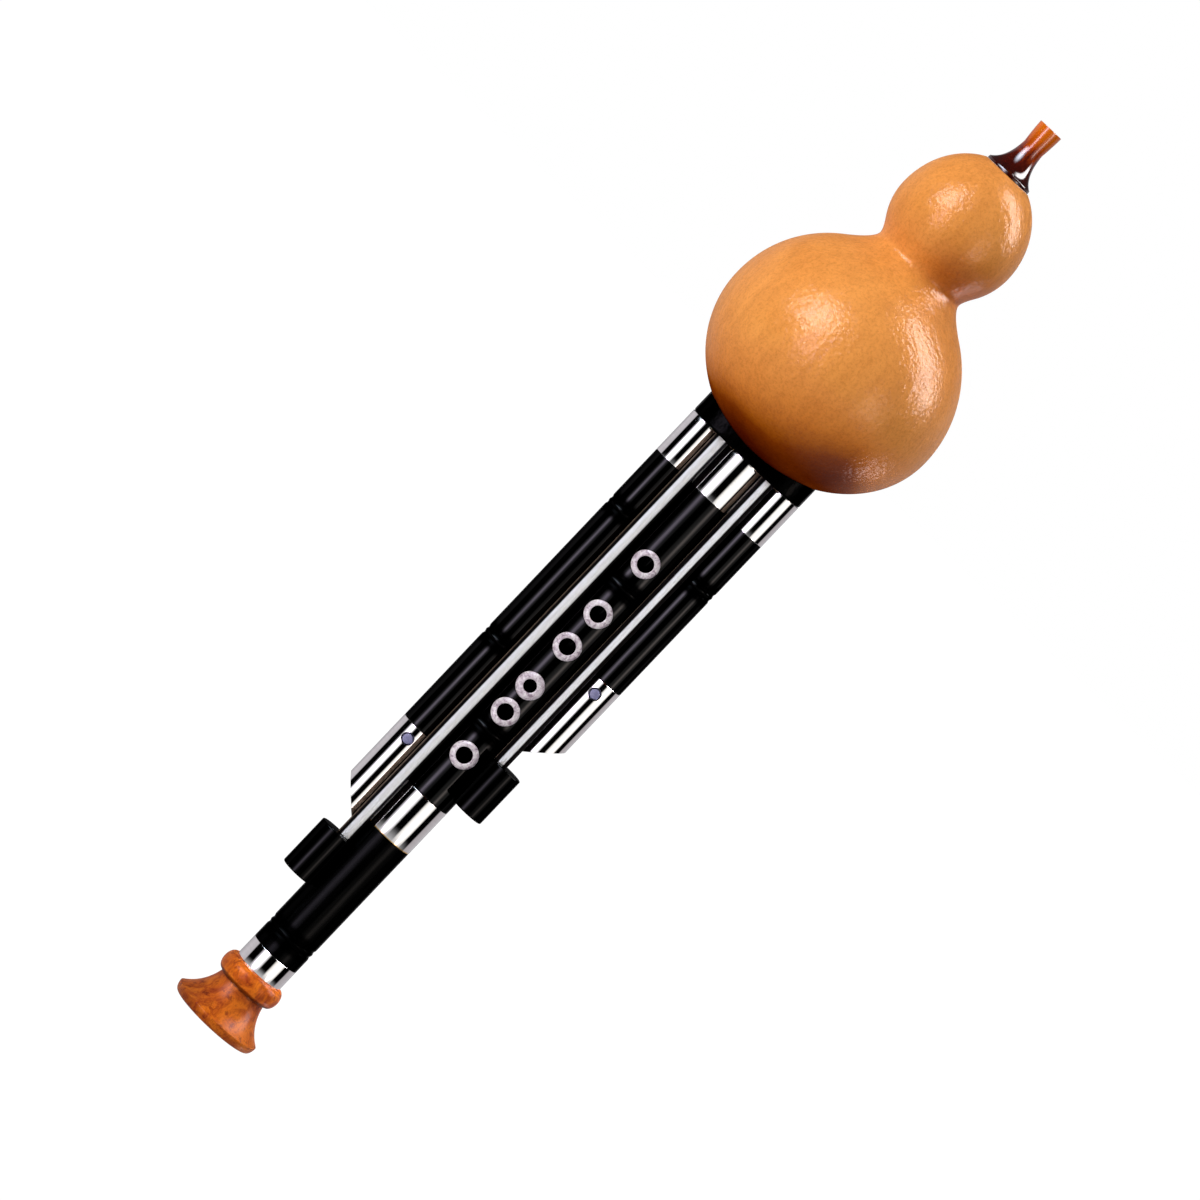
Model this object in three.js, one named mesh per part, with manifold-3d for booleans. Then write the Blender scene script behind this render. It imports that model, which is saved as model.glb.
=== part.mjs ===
// Hulusi: a gourd wind chest with one melody pipe and two drone pipes.
// Millimetres. +Z runs up the pipes to the mouthpiece, the finger holes face -Y, and the bell's mouth is at
// zero, centred on the melody pipe.
import * as THREE from 'three';
import { mergeVertices } from 'three/addons/utils/BufferGeometryUtils.js';
import Module from 'manifold-3d';

const wasm = await Module();
wasm.setup();

// Fits: faces that meet, glued or pressed sleeves, sliding or plugged fits, and how far a cutter overruns
const seatGap = 0.3;
const fitGap = 0.15;
const slideGap = 0.3;
const overrun = 2;

// Pipes
const mainPipeRadius = 9.8;
const dronePipeRadius = 6.75;
const pipeSpacing = 1.85;
const mainBoreRadius = 4.8;
const droneBoreRadius = 3;
const mainBodyLength = 182.7;
const tailBodyLength = 66.2;
const droneLengthShares = { left: 0.806, right: 0.495 };

// Turned bamboo-joint bands: places as shares of the pipe's body, measured up from its lower end
const bandHeight = 4.6;
const bandDepth = 0.55;
const bandOutlineShares = [[0, -0.5], [1, -0.3], [0, 0], [1, 0.3], [0, 0.5]];
const mainBandShares = [0.286, 0.662];
const tailBandShares = [0.254];
const leftDroneBandShares = [0.282, 0.71];
const rightDroneBandShares = [0.517];

// Finger holes in the front of the melody pipe, thumb hole behind, and the rings let in round them
const fingerHoleShares = [0.219, 0.334, 0.403, 0.507, 0.593, 0.725];
const thumbHoleShare = 0.807;
const fingerHoleRadius = 3.05;
const smallHoleRadius = 2.45;
const smallHoleNumber = 3;
const ringRadius = 5.2;
const ringDepth = 0.8;
const ringProud = 0.2;

// Tuning hole in the back of the tail pipe
const tuningHoleRadius = 2.6;
const tuningHoleShare = 0.58;

// Metal ferrules and the seats turned for them
const ferruleWall = 0.5;
const topFerruleLength = 18.7;
const lowerFerruleLength = 19.8;
const tailFerruleLength = 8.6;

// Plugged joints: cork over a tenon
const corkWall = 0.65;
const tenonCollarHeight = 2;
const mainTenonRadius = 6.7;
const mainTenonLength = 15;
const tailTenonRadius = 6.95;
const tailTenonLength = 15;
const droneTenonRadius = 4.1;
const droneTenonLength = 12;
const socketDepthSpare = 0.6;

// Slanted caps on the drone pipes' lower ends
const capWall = 0.5;
const capSeatLength = 14;
const leftCapLength = 41;
const rightCapLength = 39.3;
const leftCapSlant = 13.1;
const rightCapSlant = 11;
const toneHoleRadius = 2.45;
const toneHoleDrop = 5.3;

// Stopper in each cap's tone hole: a button with a lower rim round it
const stopperTopDrop = 0.2;
const stopperRimWidth = 0.5;
const stopperRimDrop = 0.5;
const stopperLength = 3.2;

// Bell, turned from wood
const bellHeight = 24.2;
const bellLipRadius = 18;
const bellLipHeight = 3.4;
const bellRimRadius = 16.3;
const bellMouthRadius = 14.8;
const bellNeckRadius = 9.7;
const bellFlareShares = [0.2, 0.35];
const bellMouthShares = [0.48, 0.47];
const bellRingRadius = 12.7;
const bellRingEdgeRadius = 10.4;
const bellRingHeight = 7.8;
const bellThroatHeight = 11.8;
const bellTenonRadius = 6.9;
const bellTenonLength = 11.4;

// Gourd: two bulbs and the neck between them, heights measured up from the base block's underside
const gourdWall = 3.5;
const gourdPoleRise = 2.5;
const lowerBulbRise = 44;
const lowerBulbRadius = 47.1;
const lowerBulbCrown = 45.5;
const neckRise = 90;
const neckRadius = 18.9;
const upperBulbRise = 108.2;
const upperBulbRadius = 25;
const upperBulbDepth = 24.5;
const upperBulbCrown = 28.6;
const gourdRise = 134.5;
const gourdLean = 2;
const crownEndAngle = 0.93;
const waistEndAngle = 0.55;

// Mouthpiece
const mouthpieceHeight = 22.2;
const mouthpieceBaseRadius = 9.6;
const mouthpieceLipHeight = 3.2;
const mouthpieceShoulderRadius = 8.9;
const mouthpieceFlareShares = [0.12, 0.3];
const mouthpieceWaistRadius = 4;
const mouthpieceWaistRise = 14;
const mouthpieceTipRadius = 5;
const mouthpieceBoreRadius = 1.9;
const mouthpieceFlareRadius = 2.7;
const mouthpieceSpigotRadius = 4.3;
const mouthpieceSpigotLength = 7;

// Base block: a flange scribed to the gourd and a plug inside it that holds the pipes' sockets
const blockHalfDepth = 14;
const blockPower = 3;
const plugHeight = 19.5;
const plugWall = 1.1;

// Reed tubes stand on the plug, inside the gourd
const mainReedTubeRadius = 4.8;
const mainReedTubeWall = 1.5;
const droneReedTubeRadius = 3.6;
const droneReedTubeWall = 1.2;
const reedTubeSpare = 0.7;
const mainReedMargin = 2.5;
const reedPlugHead = 2.4;
const reedPlugDepth = 4;

// Reeds: a plate with a tongue cut free on two sides
const reedThickness = 0.35;
const mainReedWidth = 5;
const mainReedLength = 16;
const droneReedWidth = 3.6;
const droneReedLength = 9.5;
const reedSlit = 0.25;
const tongueLengthShare = 0.72;
const tongueRootShare = 0.5;
const tongueTipShare = 0.12;
const reedWindowShare = 0.7;
const reedFlatDrop = 0.9;

// Drone stops: a rod with a knob below and a sleeve that shuts the reed above
const rodRadius = 3.15;
const rodTravel = 12;
const rodSpigotRadius = 2;
const rodSpigotLength = 12;
const knobRadius = 6.65;
const knobHeight = 20.6;
const knobEdge = 0.9;
const leftKnobDrop = 4.5;
const rightKnobDrop = 6.3;
const bushWall = 0.85;
const bushLength = 8;
const sealHeight = 1.6;
const sleeveWall = 0.8;
const sleeveHeight = 14;
const sleeveLift = 0.6;
const bossRadius = 4.2;
const bossHeight = 5;
const webWidth = 4;
const nutRadius = 3.5;
const nutHeight = 2.4;
const rodTipProud = 1;

// Facets round a circle
const gourdSteps = 30;
const pipeSteps = 22;
const droneSteps = 18;
const smallSteps = 12;
const holeSteps = 12;
const blockSteps = 24;
const bowlSteps = 9;
const curveSteps = 5;
const edgeSteps = 2;
const liningStride = 2;
const hexSides = 6;

// Lengths and heights that follow from the sizes above
const leftDroneLength = droneLengthShares.left * mainBodyLength;
const rightDroneLength = droneLengthShares.right * mainBodyLength;
const tailShoulderZ = bellHeight + seatGap;
const tailTopZ = tailShoulderZ + tailBodyLength;
const mainBottomZ = tailTopZ + seatGap;
const mainTopZ = mainBottomZ + mainBodyLength;
const blockZ = mainTopZ + seatGap;
const plugTopZ = blockZ + plugHeight;
const lowerBulbZ = blockZ + lowerBulbRise;
const neckZ = blockZ + neckRise;
const upperBulbZ = blockZ + upperBulbRise;
const gourdTopZ = blockZ + gourdRise;
const sleeveZ = plugTopZ + sleeveLift + rodTravel;
const sleeveTopZ = sleeveZ + sleeveHeight;

// Places in plan: each rod nests between the melody pipe and a drone, and its knob just clears the melody pipe
const droneX = mainPipeRadius + pipeSpacing + dronePipeRadius;
const rodFromMain = mainPipeRadius + slideGap + rodRadius;
const rodFromDrone = dronePipeRadius + slideGap + rodRadius;
const rodX = (rodFromMain ** 2 - rodFromDrone ** 2 + droneX ** 2) / (2 * droneX);
const rodY = -Math.sqrt(rodFromMain ** 2 - rodX ** 2);
const knobReach = (mainPipeRadius + slideGap + knobRadius) / rodFromMain;
const knobX = rodX * knobReach;
const knobY = rodY * knobReach;

// Radii of the sockets, bores and sleeves that fit each other
const mainSocketRadius = mainTenonRadius + slideGap;
const tailSocketRadius = tailTenonRadius + slideGap;
const droneSocketRadius = droneTenonRadius + slideGap;
const mainSocketTopZ = blockZ + mainTenonLength + socketDepthSpare;
const droneSocketTopZ = blockZ + droneTenonLength + socketDepthSpare;
const sleeveBoreRadius = droneReedTubeRadius + slideGap;
const sleeveRadius = sleeveBoreRadius + sleeveWall;
const rodBoreRadius = rodRadius + slideGap;
const bushRadius = rodBoreRadius + bushWall;
const mouthpieceCorkRadius = mouthpieceSpigotRadius + fitGap + corkWall;
const mouthpieceHoleRadius = mouthpieceCorkRadius + slideGap;
const mouthpieceZ = gourdTopZ + seatGap;
const plugHalfWidth = droneX + droneSocketRadius + plugWall;
const plugHalfDepth = rodBoreRadius - rodY + plugWall;
const bushTopZ = blockZ + seatGap + bushLength;

// Materials
const finish = (color, roughness, metalness) => new THREE.MeshStandardMaterial({ color, roughness, metalness });
const gourdFinish = finish(0xdf9658, 0.35, 0);
const amberFinish = finish(0x8a3408, 0.2, 0);
const blackFinish = finish(0x0c0b0d, 0.25, 0);
const metalFinish = finish(0xd8d6d2, 0.12, 1);
const pearlFinish = finish(0xb8afb8, 0.3, 0);
const woodFinish = finish(0xb9591c, 0.35, 0);
const corkFinish = finish(0xb88a5a, 0.9, 0);
const brassFinish = finish(0xb8944a, 0.3, 1);
const feltFinish = finish(0x6b2a2a, 0.95, 0);
const stopperFinish = finish(0x6a6790, 0.3, 0);

// A closed [radius, height] outline turned about the Z axis
function turned(pairs, steps) {
  const points = pairs.map(([radius, height]) => new THREE.Vector2(radius, height));
  return new THREE.LatheGeometry(points, steps).rotateX(Math.PI / 2);
}

// A cylinder along Z between two heights
function cylinder(radius, bottom, top, steps) {
  return turned([[0, bottom], [radius, bottom], [radius, top], [0, top]], steps);
}

// A tube along Z between two heights
function tube(radius, bore, bottom, top, steps) {
  return turned([[bore, bottom], [radius, bottom], [radius, top], [bore, top], [bore, bottom]], steps);
}

// Points of an elliptical arc in an outline, from one angle to another
function arc(centre, radii, from, to, steps) {
  const curve = new THREE.EllipseCurve(centre[0], centre[1], radii[0], radii[1], from, to, to < from);
  return curve.getPoints(steps).map((point) => [point.x, point.y]);
}

// Points of a bend between two outline points, pulled towards a third
function bend(start, pull, end, steps) {
  const ends = [start, pull, end].map(([radius, height]) => new THREE.Vector2(radius, height));
  return new THREE.QuadraticBezierCurve(...ends).getPoints(steps).map((point) => [point.x, point.y]);
}

// The point at some shares of the way between two corners of an outline, across from one and up from the other
function between(inner, outer, [acrossShare, upShare]) {
  const radius = inner[0] + (outer[0] - inner[0]) * acrossShare;
  return [radius, outer[1] + (inner[1] - outer[1]) * upShare];
}

// A closed geometry as a solid that can be cut and joined
function solid(geometry) {
  const bare = geometry.clone();
  bare.deleteAttribute('normal');
  bare.deleteAttribute('uv');
  const merged = mergeVertices(bare);
  const corners = merged.index.array;
  const kept = [];
  for (let i = 0; i < corners.length; i += 3) {
    const [a, b, c] = corners.slice(i, i + 3);
    if (a !== b && b !== c && c !== a) kept.push(a, b, c);
  }
  const vertProperties = merged.attributes.position.array;
  return new wasm.Manifold(new wasm.Mesh({ numProp: 3, vertProperties, triVerts: Uint32Array.from(kept) }));
}

// A base geometry with others cut away from it
function cut(base, ...cutters) {
  let body = base instanceof THREE.BufferGeometry ? solid(base) : base;
  for (const cutter of cutters) body = body.subtract(solid(cutter));
  return geometryOf(body);
}

// A cut solid's triangles
function geometryOf(body) {
  const mesh = body.getMesh();
  const geometry = new THREE.BufferGeometry();
  geometry.setAttribute('position', new THREE.BufferAttribute(mesh.vertProperties, mesh.numProp));
  geometry.setIndex(new THREE.BufferAttribute(mesh.triVerts, 1));
  geometry.computeVertexNormals();
  return geometry;
}

const root = new THREE.Group();

// Adds one named sub-part
function add(name, geometry, material, x = 0, y = 0) {
  const mesh = new THREE.Mesh(geometry, material);
  mesh.name = name;
  mesh.position.set(x, y, 0);
  root.add(mesh);
}

// Outline of the turned bands on a pipe, in order up its side
function bands(radius, bottom, length, shares) {
  const points = [];
  for (const share of shares) {
    for (const [depthShare, heightShare] of bandOutlineShares) {
      points.push([radius - bandDepth * depthShare, bottom + length * share + bandHeight * heightShare]);
    }
  }
  return points;
}

// Outline of a tenon with its cork seat and end collar, up from a shoulder
function tenonOutline(radius, shoulder, length) {
  const seat = radius - corkWall;
  const collar = shoulder + length - tenonCollarHeight;
  return [[seat, shoulder], [seat, collar], [radius, collar], [radius, shoulder + length]];
}

// Cork sleeve that fills the tenon's seat
function tenonCork(radius, shoulder, length) {
  const bottom = shoulder + fitGap;
  const top = shoulder + length - tenonCollarHeight - fitGap;
  return tube(radius, radius - corkWall + fitGap, bottom, top, droneSteps);
}

// Ferrule sleeve, flush with the pipe that it rides on
function ferrule(radius, bottom, top, steps) {
  return tube(radius, radius - ferruleWall, bottom, top, steps);
}

// A flat washer shape, round the Y axis, bent to lie on the front of a pipe
function wrappedWasher(pairs, pipeRadius, height) {
  const points = pairs.map(([radius, proud]) => new THREE.Vector2(radius, proud));
  const geometry = new THREE.LatheGeometry(points, holeSteps);
  const place = geometry.attributes.position;
  for (let i = 0; i < place.count; i += 1) {
    const x = place.getX(i);
    place.setY(i, -place.getY(i) - Math.sqrt(pipeRadius ** 2 - x ** 2));
    place.setZ(i, height - place.getZ(i));
  }
  return geometry;
}

// Ring let in round a finger hole
function holeRing(bore, height) {
  const outline = [
    [bore, -ringDepth], [ringRadius, -ringDepth], [ringRadius, ringProud], [bore, ringProud],
    [bore, -ringDepth],
  ];
  return wrappedWasher(outline, mainPipeRadius, height);
}

// The recess for that ring
function ringRecess(bore, height) {
  const floor = -ringDepth - fitGap;
  const edge = ringRadius + fitGap;
  const outline = [[0, floor], [bore, floor], [edge, floor], [edge, overrun], [bore, overrun], [0, overrun]];
  return wrappedWasher(outline, mainPipeRadius, height);
}

// A hole through the front wall of a pipe, from its axis out
function frontHole(radius, pipeRadius, height) {
  const length = pipeRadius + overrun;
  return new THREE.CylinderGeometry(radius, radius, length, holeSteps).translate(0, -length / 2, height);
}

// Radius of one finger hole: all alike but the small one
function holeRadius(index) {
  return index === smallHoleNumber - 1 ? smallHoleRadius : fingerHoleRadius;
}

// Melody pipe with its ferrules, cork, holes and rings
function addMainPipe() {
  const seat = mainPipeRadius - ferruleWall - fitGap;
  const lowerSeatTop = mainBottomZ + lowerFerruleLength;
  const upperSeatBottom = mainTopZ - topFerruleLength;
  const tenonTop = mainTopZ + mainTenonLength;
  const socketTop = mainBottomZ + tailTenonLength + socketDepthSpare;
  const body = turned([
    [tailSocketRadius, mainBottomZ], [seat, mainBottomZ], [seat, lowerSeatTop], [mainPipeRadius, lowerSeatTop],
    ...bands(mainPipeRadius, mainBottomZ, mainBodyLength, mainBandShares),
    [mainPipeRadius, upperSeatBottom], [seat, upperSeatBottom], [seat, mainTopZ],
    ...tenonOutline(mainTenonRadius, mainTopZ, mainTenonLength),
    [mainBoreRadius, tenonTop], [mainBoreRadius, socketTop], [tailSocketRadius, socketTop],
    [tailSocketRadius, mainBottomZ],
  ], pipeSteps);
  const cutters = [];
  fingerHoleShares.forEach((share, index) => {
    const height = mainBottomZ + mainBodyLength * share;
    cutters.push(frontHole(holeRadius(index), mainPipeRadius, height));
    cutters.push(ringRecess(holeRadius(index), height));
    add(`finger_ring_${index + 1}`, holeRing(holeRadius(index), height), pearlFinish);
  });
  const thumbZ = mainBottomZ + mainBodyLength * thumbHoleShare;
  cutters.push(frontHole(fingerHoleRadius, mainPipeRadius, thumbZ).rotateZ(Math.PI));
  cutters.push(ringRecess(fingerHoleRadius, thumbZ).rotateZ(Math.PI));
  add('thumb_ring', holeRing(fingerHoleRadius, thumbZ).rotateZ(Math.PI), pearlFinish);
  add('main_pipe', cut(body, ...cutters), blackFinish);
  const topFerruleBottom = upperSeatBottom + fitGap;
  const lowerFerruleTop = lowerSeatTop - fitGap;
  add('main_top_ferrule', ferrule(mainPipeRadius, topFerruleBottom, mainTopZ, pipeSteps), metalFinish);
  add('main_lower_ferrule', ferrule(mainPipeRadius, mainBottomZ, lowerFerruleTop, pipeSteps), metalFinish);
  add('main_tenon_cork', tenonCork(mainTenonRadius, mainTopZ, mainTenonLength), corkFinish);
}

// Tail pipe, plugged into the melody pipe's lower socket, with the bell on its own lower tenon
function addTail() {
  const seat = mainPipeRadius - ferruleWall - fitGap;
  const seatTop = tailShoulderZ + tailFerruleLength;
  const tenonBottom = tailShoulderZ - bellTenonLength;
  const tenonTop = tailTopZ + tailTenonLength;
  const body = turned([
    [mainBoreRadius, tenonBottom], [bellTenonRadius, tenonBottom], [bellTenonRadius, tailShoulderZ],
    [seat, tailShoulderZ], [seat, seatTop], [mainPipeRadius, seatTop],
    ...bands(mainPipeRadius, tailShoulderZ, tailBodyLength, tailBandShares),
    [mainPipeRadius, tailTopZ],
    ...tenonOutline(tailTenonRadius, tailTopZ, tailTenonLength),
    [mainBoreRadius, tenonTop], [mainBoreRadius, tenonBottom],
  ], pipeSteps);
  const tuningZ = tailShoulderZ + tailBodyLength * tuningHoleShare;
  const tuningHole = frontHole(tuningHoleRadius, mainPipeRadius, tuningZ).rotateZ(Math.PI);
  add('tail_pipe', cut(body, tuningHole), blackFinish);
  add('tail_ferrule', ferrule(mainPipeRadius, tailShoulderZ, seatTop - fitGap, pipeSteps), metalFinish);
  add('tail_tenon_cork', tenonCork(tailTenonRadius, tailTopZ, tailTenonLength), corkFinish);
  add('bell', bell(), woodFinish);
}

// Bell: rounded lip, hollow flare, grooved neck and a beaded ring, with a flared mouth and a socket inside
function bell() {
  const socket = bellTenonRadius + fitGap;
  const socketBottom = bellHeight - bellTenonLength;
  const ringBottom = bellHeight - bellRingHeight;
  const lipRadii = [bellLipRadius - bellRimRadius, bellLipHeight];
  const lip = arc([bellRimRadius, bellLipHeight], lipRadii, -Math.PI / 2, 0, curveSteps);
  const neck = [bellNeckRadius, ringBottom];
  const edge = [bellLipRadius, bellLipHeight];
  const flare = bend(edge, between(neck, edge, bellFlareShares), neck, curveSteps);
  const ringCentre = [bellRingEdgeRadius, bellHeight - bellRingHeight / 2];
  const ringRadii = [bellRingRadius - bellRingEdgeRadius, bellRingHeight / 2];
  const ring = arc(ringCentre, ringRadii, -Math.PI / 2, Math.PI / 2, curveSteps);
  const throat = [mainBoreRadius, bellThroatHeight];
  const rim = [bellMouthRadius, 0];
  const mouth = bend(throat, between(throat, rim, bellMouthShares), rim, curveSteps);
  const outline = [
    ...lip, ...flare.slice(1), ...ring, [socket, bellHeight], [socket, socketBottom - fitGap],
    [mainBoreRadius, socketBottom - fitGap], ...mouth,
  ];
  return turned([...outline, outline[0]], pipeSteps);
}

// One drone pipe with its ferrule, cork and slanted cap; side is -1 for left and 1 for right
function addDrone(name, side, length, bandShares, capLength, capSlant) {
  const x = side * droneX;
  const bottom = mainTopZ - length;
  const seat = dronePipeRadius - ferruleWall - fitGap;
  const capSeat = dronePipeRadius - capWall - fitGap;
  const upperSeatBottom = mainTopZ - topFerruleLength;
  const tenonTop = mainTopZ + droneTenonLength;
  const seatEnd = bottom - capSeatLength;
  const body = turned([
    [droneBoreRadius, seatEnd], [capSeat, seatEnd], [capSeat, bottom], [dronePipeRadius, bottom],
    ...bands(dronePipeRadius, bottom, length, bandShares),
    [dronePipeRadius, upperSeatBottom], [seat, upperSeatBottom], [seat, mainTopZ],
    ...tenonOutline(droneTenonRadius, mainTopZ, droneTenonLength),
    [droneBoreRadius, tenonTop], [droneBoreRadius, seatEnd],
  ], droneSteps);
  const toneHole = frontHole(toneHoleRadius, dronePipeRadius, bottom - toneHoleDrop);
  const ferruleBottom = upperSeatBottom + fitGap;
  const cap = tube(dronePipeRadius, dronePipeRadius - capWall, bottom - capLength, bottom - fitGap, droneSteps);
  add(`${name}_pipe`, cut(body, toneHole), blackFinish, x);
  add(`${name}_ferrule`, ferrule(dronePipeRadius, ferruleBottom, mainTopZ, droneSteps), metalFinish, x);
  add(`${name}_tenon_cork`, tenonCork(droneTenonRadius, mainTopZ, droneTenonLength), corkFinish, x);
  add(`${name}_cap`, cut(cap, toneHole, slantCutter(side, bottom - capLength, capSlant)), metalFinish, x);
  add(`${name}_stopper`, stopper(bottom - toneHoleDrop), stopperFinish, x);
}

// Stopper that closes a tone hole, its button facing the front
function stopper(height) {
  const radius = toneHoleRadius - fitGap;
  const top = dronePipeRadius - stopperTopDrop;
  const rim = top - stopperRimDrop;
  const button = radius - stopperRimWidth;
  const base = top - stopperLength;
  const outline = [[0, base], [radius, base], [radius, rim], [button, rim], [button, top], [0, top]];
  return turned(outline, smallSteps).rotateX(Math.PI / 2).translate(0, 0, height);
}

// Wedge that slants a cap's end, short on its outer side
function slantCutter(side, tip, slant) {
  const reach = dronePipeRadius + overrun;
  const spare = overrun * slant / (2 * dronePipeRadius);
  const outline = new THREE.Shape([
    new THREE.Vector2(-reach * side, tip - spare),
    new THREE.Vector2(reach * side, tip - spare),
    new THREE.Vector2(reach * side, tip + slant + spare),
  ]);
  const options = { depth: 2 * reach, bevelEnabled: false };
  return new THREE.ExtrudeGeometry(outline, options).rotateX(Math.PI / 2).translate(0, reach, 0);
}

// Where the tangent at an angle of an ellipse meets the neck's upright, which makes a smooth bend into it
function neckPull(centreZ, radii, angle) {
  const across = radii[0] * Math.cos(angle);
  const up = radii[1] * Math.sin(angle);
  return [neckRadius, centreZ + up + (across - neckRadius) * (radii[1] / radii[0]) / Math.tan(angle)];
}

// Gourd's outer outline, up from its lower pole to the flat under the mouthpiece: elliptical bulbs, bent neck
function gourdOutline() {
  const bowl = [lowerBulbRadius, lowerBulbRise - gourdPoleRise];
  const crown = [lowerBulbRadius, lowerBulbCrown];
  const waist = [upperBulbRadius, upperBulbDepth];
  const topAngle = Math.asin((gourdRise - upperBulbRise) / upperBulbCrown);
  const bowlPoints = arc([0, lowerBulbZ], bowl, -Math.PI / 2, 0, bowlSteps);
  const crownPoints = arc([0, lowerBulbZ], crown, 0, crownEndAngle, curveSteps);
  const waistPoints = arc([0, upperBulbZ], waist, -waistEndAngle, 0, edgeSteps);
  const topPoints = arc([0, upperBulbZ], [upperBulbRadius, upperBulbCrown], 0, topAngle, curveSteps);
  const neck = [neckRadius, neckZ];
  const intoNeck = bend(crownPoints[curveSteps], neckPull(lowerBulbZ, crown, crownEndAngle), neck, edgeSteps);
  const outOfNeck = bend(neck, neckPull(upperBulbZ, waist, -waistEndAngle), waistPoints[0], edgeSteps);
  const stretches = [crownPoints, intoNeck, outOfNeck, waistPoints, topPoints];
  return stretches.reduce((outline, stretch) => [...outline, ...stretch.slice(1)], bowlPoints);
}

// An outline moved square to itself: outwards if the distance is positive
function offset(outline, distance) {
  return outline.map(([radius, height], index) => {
    const [fromRadius, fromHeight] = outline[Math.max(index - 1, 0)];
    const [toRadius, toHeight] = outline[Math.min(index + 1, outline.length - 1)];
    const length = Math.hypot(toRadius - fromRadius, toHeight - fromHeight);
    const out = (toHeight - fromHeight) / length;
    const down = (toRadius - fromRadius) / length;
    return index === 0 ? [0, height - distance] : [radius + distance * out, height - distance * down];
  });
}

// Leans what lies above the lower bulb's middle to the left, as the grown gourd does
function leant(geometry) {
  const place = geometry.attributes.position;
  for (let i = 0; i < place.count; i += 1) {
    const share = THREE.MathUtils.smoothstep(place.getZ(i), lowerBulbZ, gourdTopZ);
    place.setX(i, place.getX(i) - gourdLean * share);
  }
  return geometry;
}

// Plan of the base block or its plug: a rounded oblong
function oblong(halfWidth, halfDepth) {
  const points = [];
  for (let i = 0; i < blockSteps; i += 1) {
    const angle = 2 * Math.PI * i / blockSteps;
    const x = Math.sign(Math.cos(angle)) * Math.abs(Math.cos(angle)) ** (2 / blockPower);
    const y = Math.sign(Math.sin(angle)) * Math.abs(Math.sin(angle)) ** (2 / blockPower);
    points.push(new THREE.Vector2(halfWidth * x, halfDepth * y));
  }
  return new THREE.Shape(points);
}

// That plan as a prism between two heights
function oblongPrism(halfWidth, halfDepth, bottom, top) {
  const options = { depth: top - bottom, bevelEnabled: false };
  return new THREE.ExtrudeGeometry(oblong(halfWidth, halfDepth), options).translate(0, 0, bottom);
}

// Gourd shell, open below for the plug and above for the mouthpiece
function gourd() {
  const outer = gourdOutline();
  const lining = offset(outer, -gourdWall);
  const keeps = ([radius, height]) => radius > mouthpieceHoleRadius || height < lowerBulbZ;
  const inner = lining.filter((point, index) => index % liningStride === 0 && keeps(point));
  const innerTop = inner[inner.length - 1][1];
  const shell = turned([
    ...outer, [mouthpieceHoleRadius, gourdTopZ], [mouthpieceHoleRadius, innerTop], ...inner.reverse(),
  ], gourdSteps);
  const hole = oblongPrism(plugHalfWidth + slideGap, plugHalfDepth + slideGap, blockZ, lowerBulbZ);
  return cut(leant(shell), hole);
}

// Base block: flange scribed to the gourd, plug, sockets and bores
function baseBlock() {
  const grown = offset(gourdOutline(), seatGap);
  const gourdSpace = leant(turned([...grown, [0, grown[grown.length - 1][1]]], gourdSteps));
  const flange = oblongPrism(droneX + dronePipeRadius, blockHalfDepth, blockZ, lowerBulbZ);
  const plug = oblongPrism(plugHalfWidth, plugHalfDepth, blockZ, plugTopZ);
  const body = solid(flange).subtract(solid(gourdSpace)).add(solid(plug));
  const below = blockZ - overrun;
  const above = plugTopZ + overrun;
  const cutters = [
    cylinder(mainSocketRadius, below, mainSocketTopZ, droneSteps),
    cylinder(mainReedTubeRadius + fitGap, below, above, droneSteps),
  ];
  for (const side of [-1, 1]) {
    const socket = cylinder(droneSocketRadius, below, droneSocketTopZ, smallSteps);
    const tubeBore = cylinder(droneReedTubeRadius + fitGap, below, above, smallSteps);
    const rodBore = cylinder(rodBoreRadius, below, above, smallSteps);
    cutters.push(socket.translate(side * droneX, 0, 0), tubeBore.translate(side * droneX, 0, 0));
    cutters.push(rodBore.translate(side * rodX, rodY, 0), bushRecess().translate(side * rodX, rodY, 0));
  }
  return cut(body, ...cutters);
}

// Recess in the block for a rod's bush and the seal above it
function bushRecess() {
  return cylinder(bushRadius + fitGap, blockZ - overrun, bushTopZ + sealHeight + 2 * fitGap, smallSteps);
}

// Mouthpiece: spigot, rounded base lip, hollow flare to a waist, and a tip with a flared bore
function mouthpiece() {
  const bottom = mouthpieceZ - mouthpieceSpigotLength;
  const lipTop = mouthpieceZ + mouthpieceLipHeight;
  const waist = [mouthpieceWaistRadius, mouthpieceZ + mouthpieceWaistRise];
  const shoulder = [mouthpieceShoulderRadius, lipTop];
  const tipZ = mouthpieceZ + mouthpieceHeight;
  const lip = bend([mouthpieceBaseRadius, mouthpieceZ], [mouthpieceBaseRadius, lipTop], shoulder, edgeSteps);
  const flare = bend(shoulder, between(waist, shoulder, mouthpieceFlareShares), waist, curveSteps);
  const bendZ = tipZ - mouthpieceLipHeight;
  const tip = bend(waist, [mouthpieceTipRadius, bendZ], [mouthpieceTipRadius, tipZ], curveSteps);
  const boreBottom = [mouthpieceBoreRadius, waist[1]];
  const bore = bend([mouthpieceFlareRadius, tipZ], [mouthpieceBoreRadius, bendZ], boreBottom, edgeSteps);
  return turned([
    [mouthpieceBoreRadius, bottom], [mouthpieceSpigotRadius, bottom], [mouthpieceSpigotRadius, mouthpieceZ],
    ...lip, ...flare.slice(1), ...tip.slice(1), ...bore, [mouthpieceBoreRadius, bottom],
  ], droneSteps);
}

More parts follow.
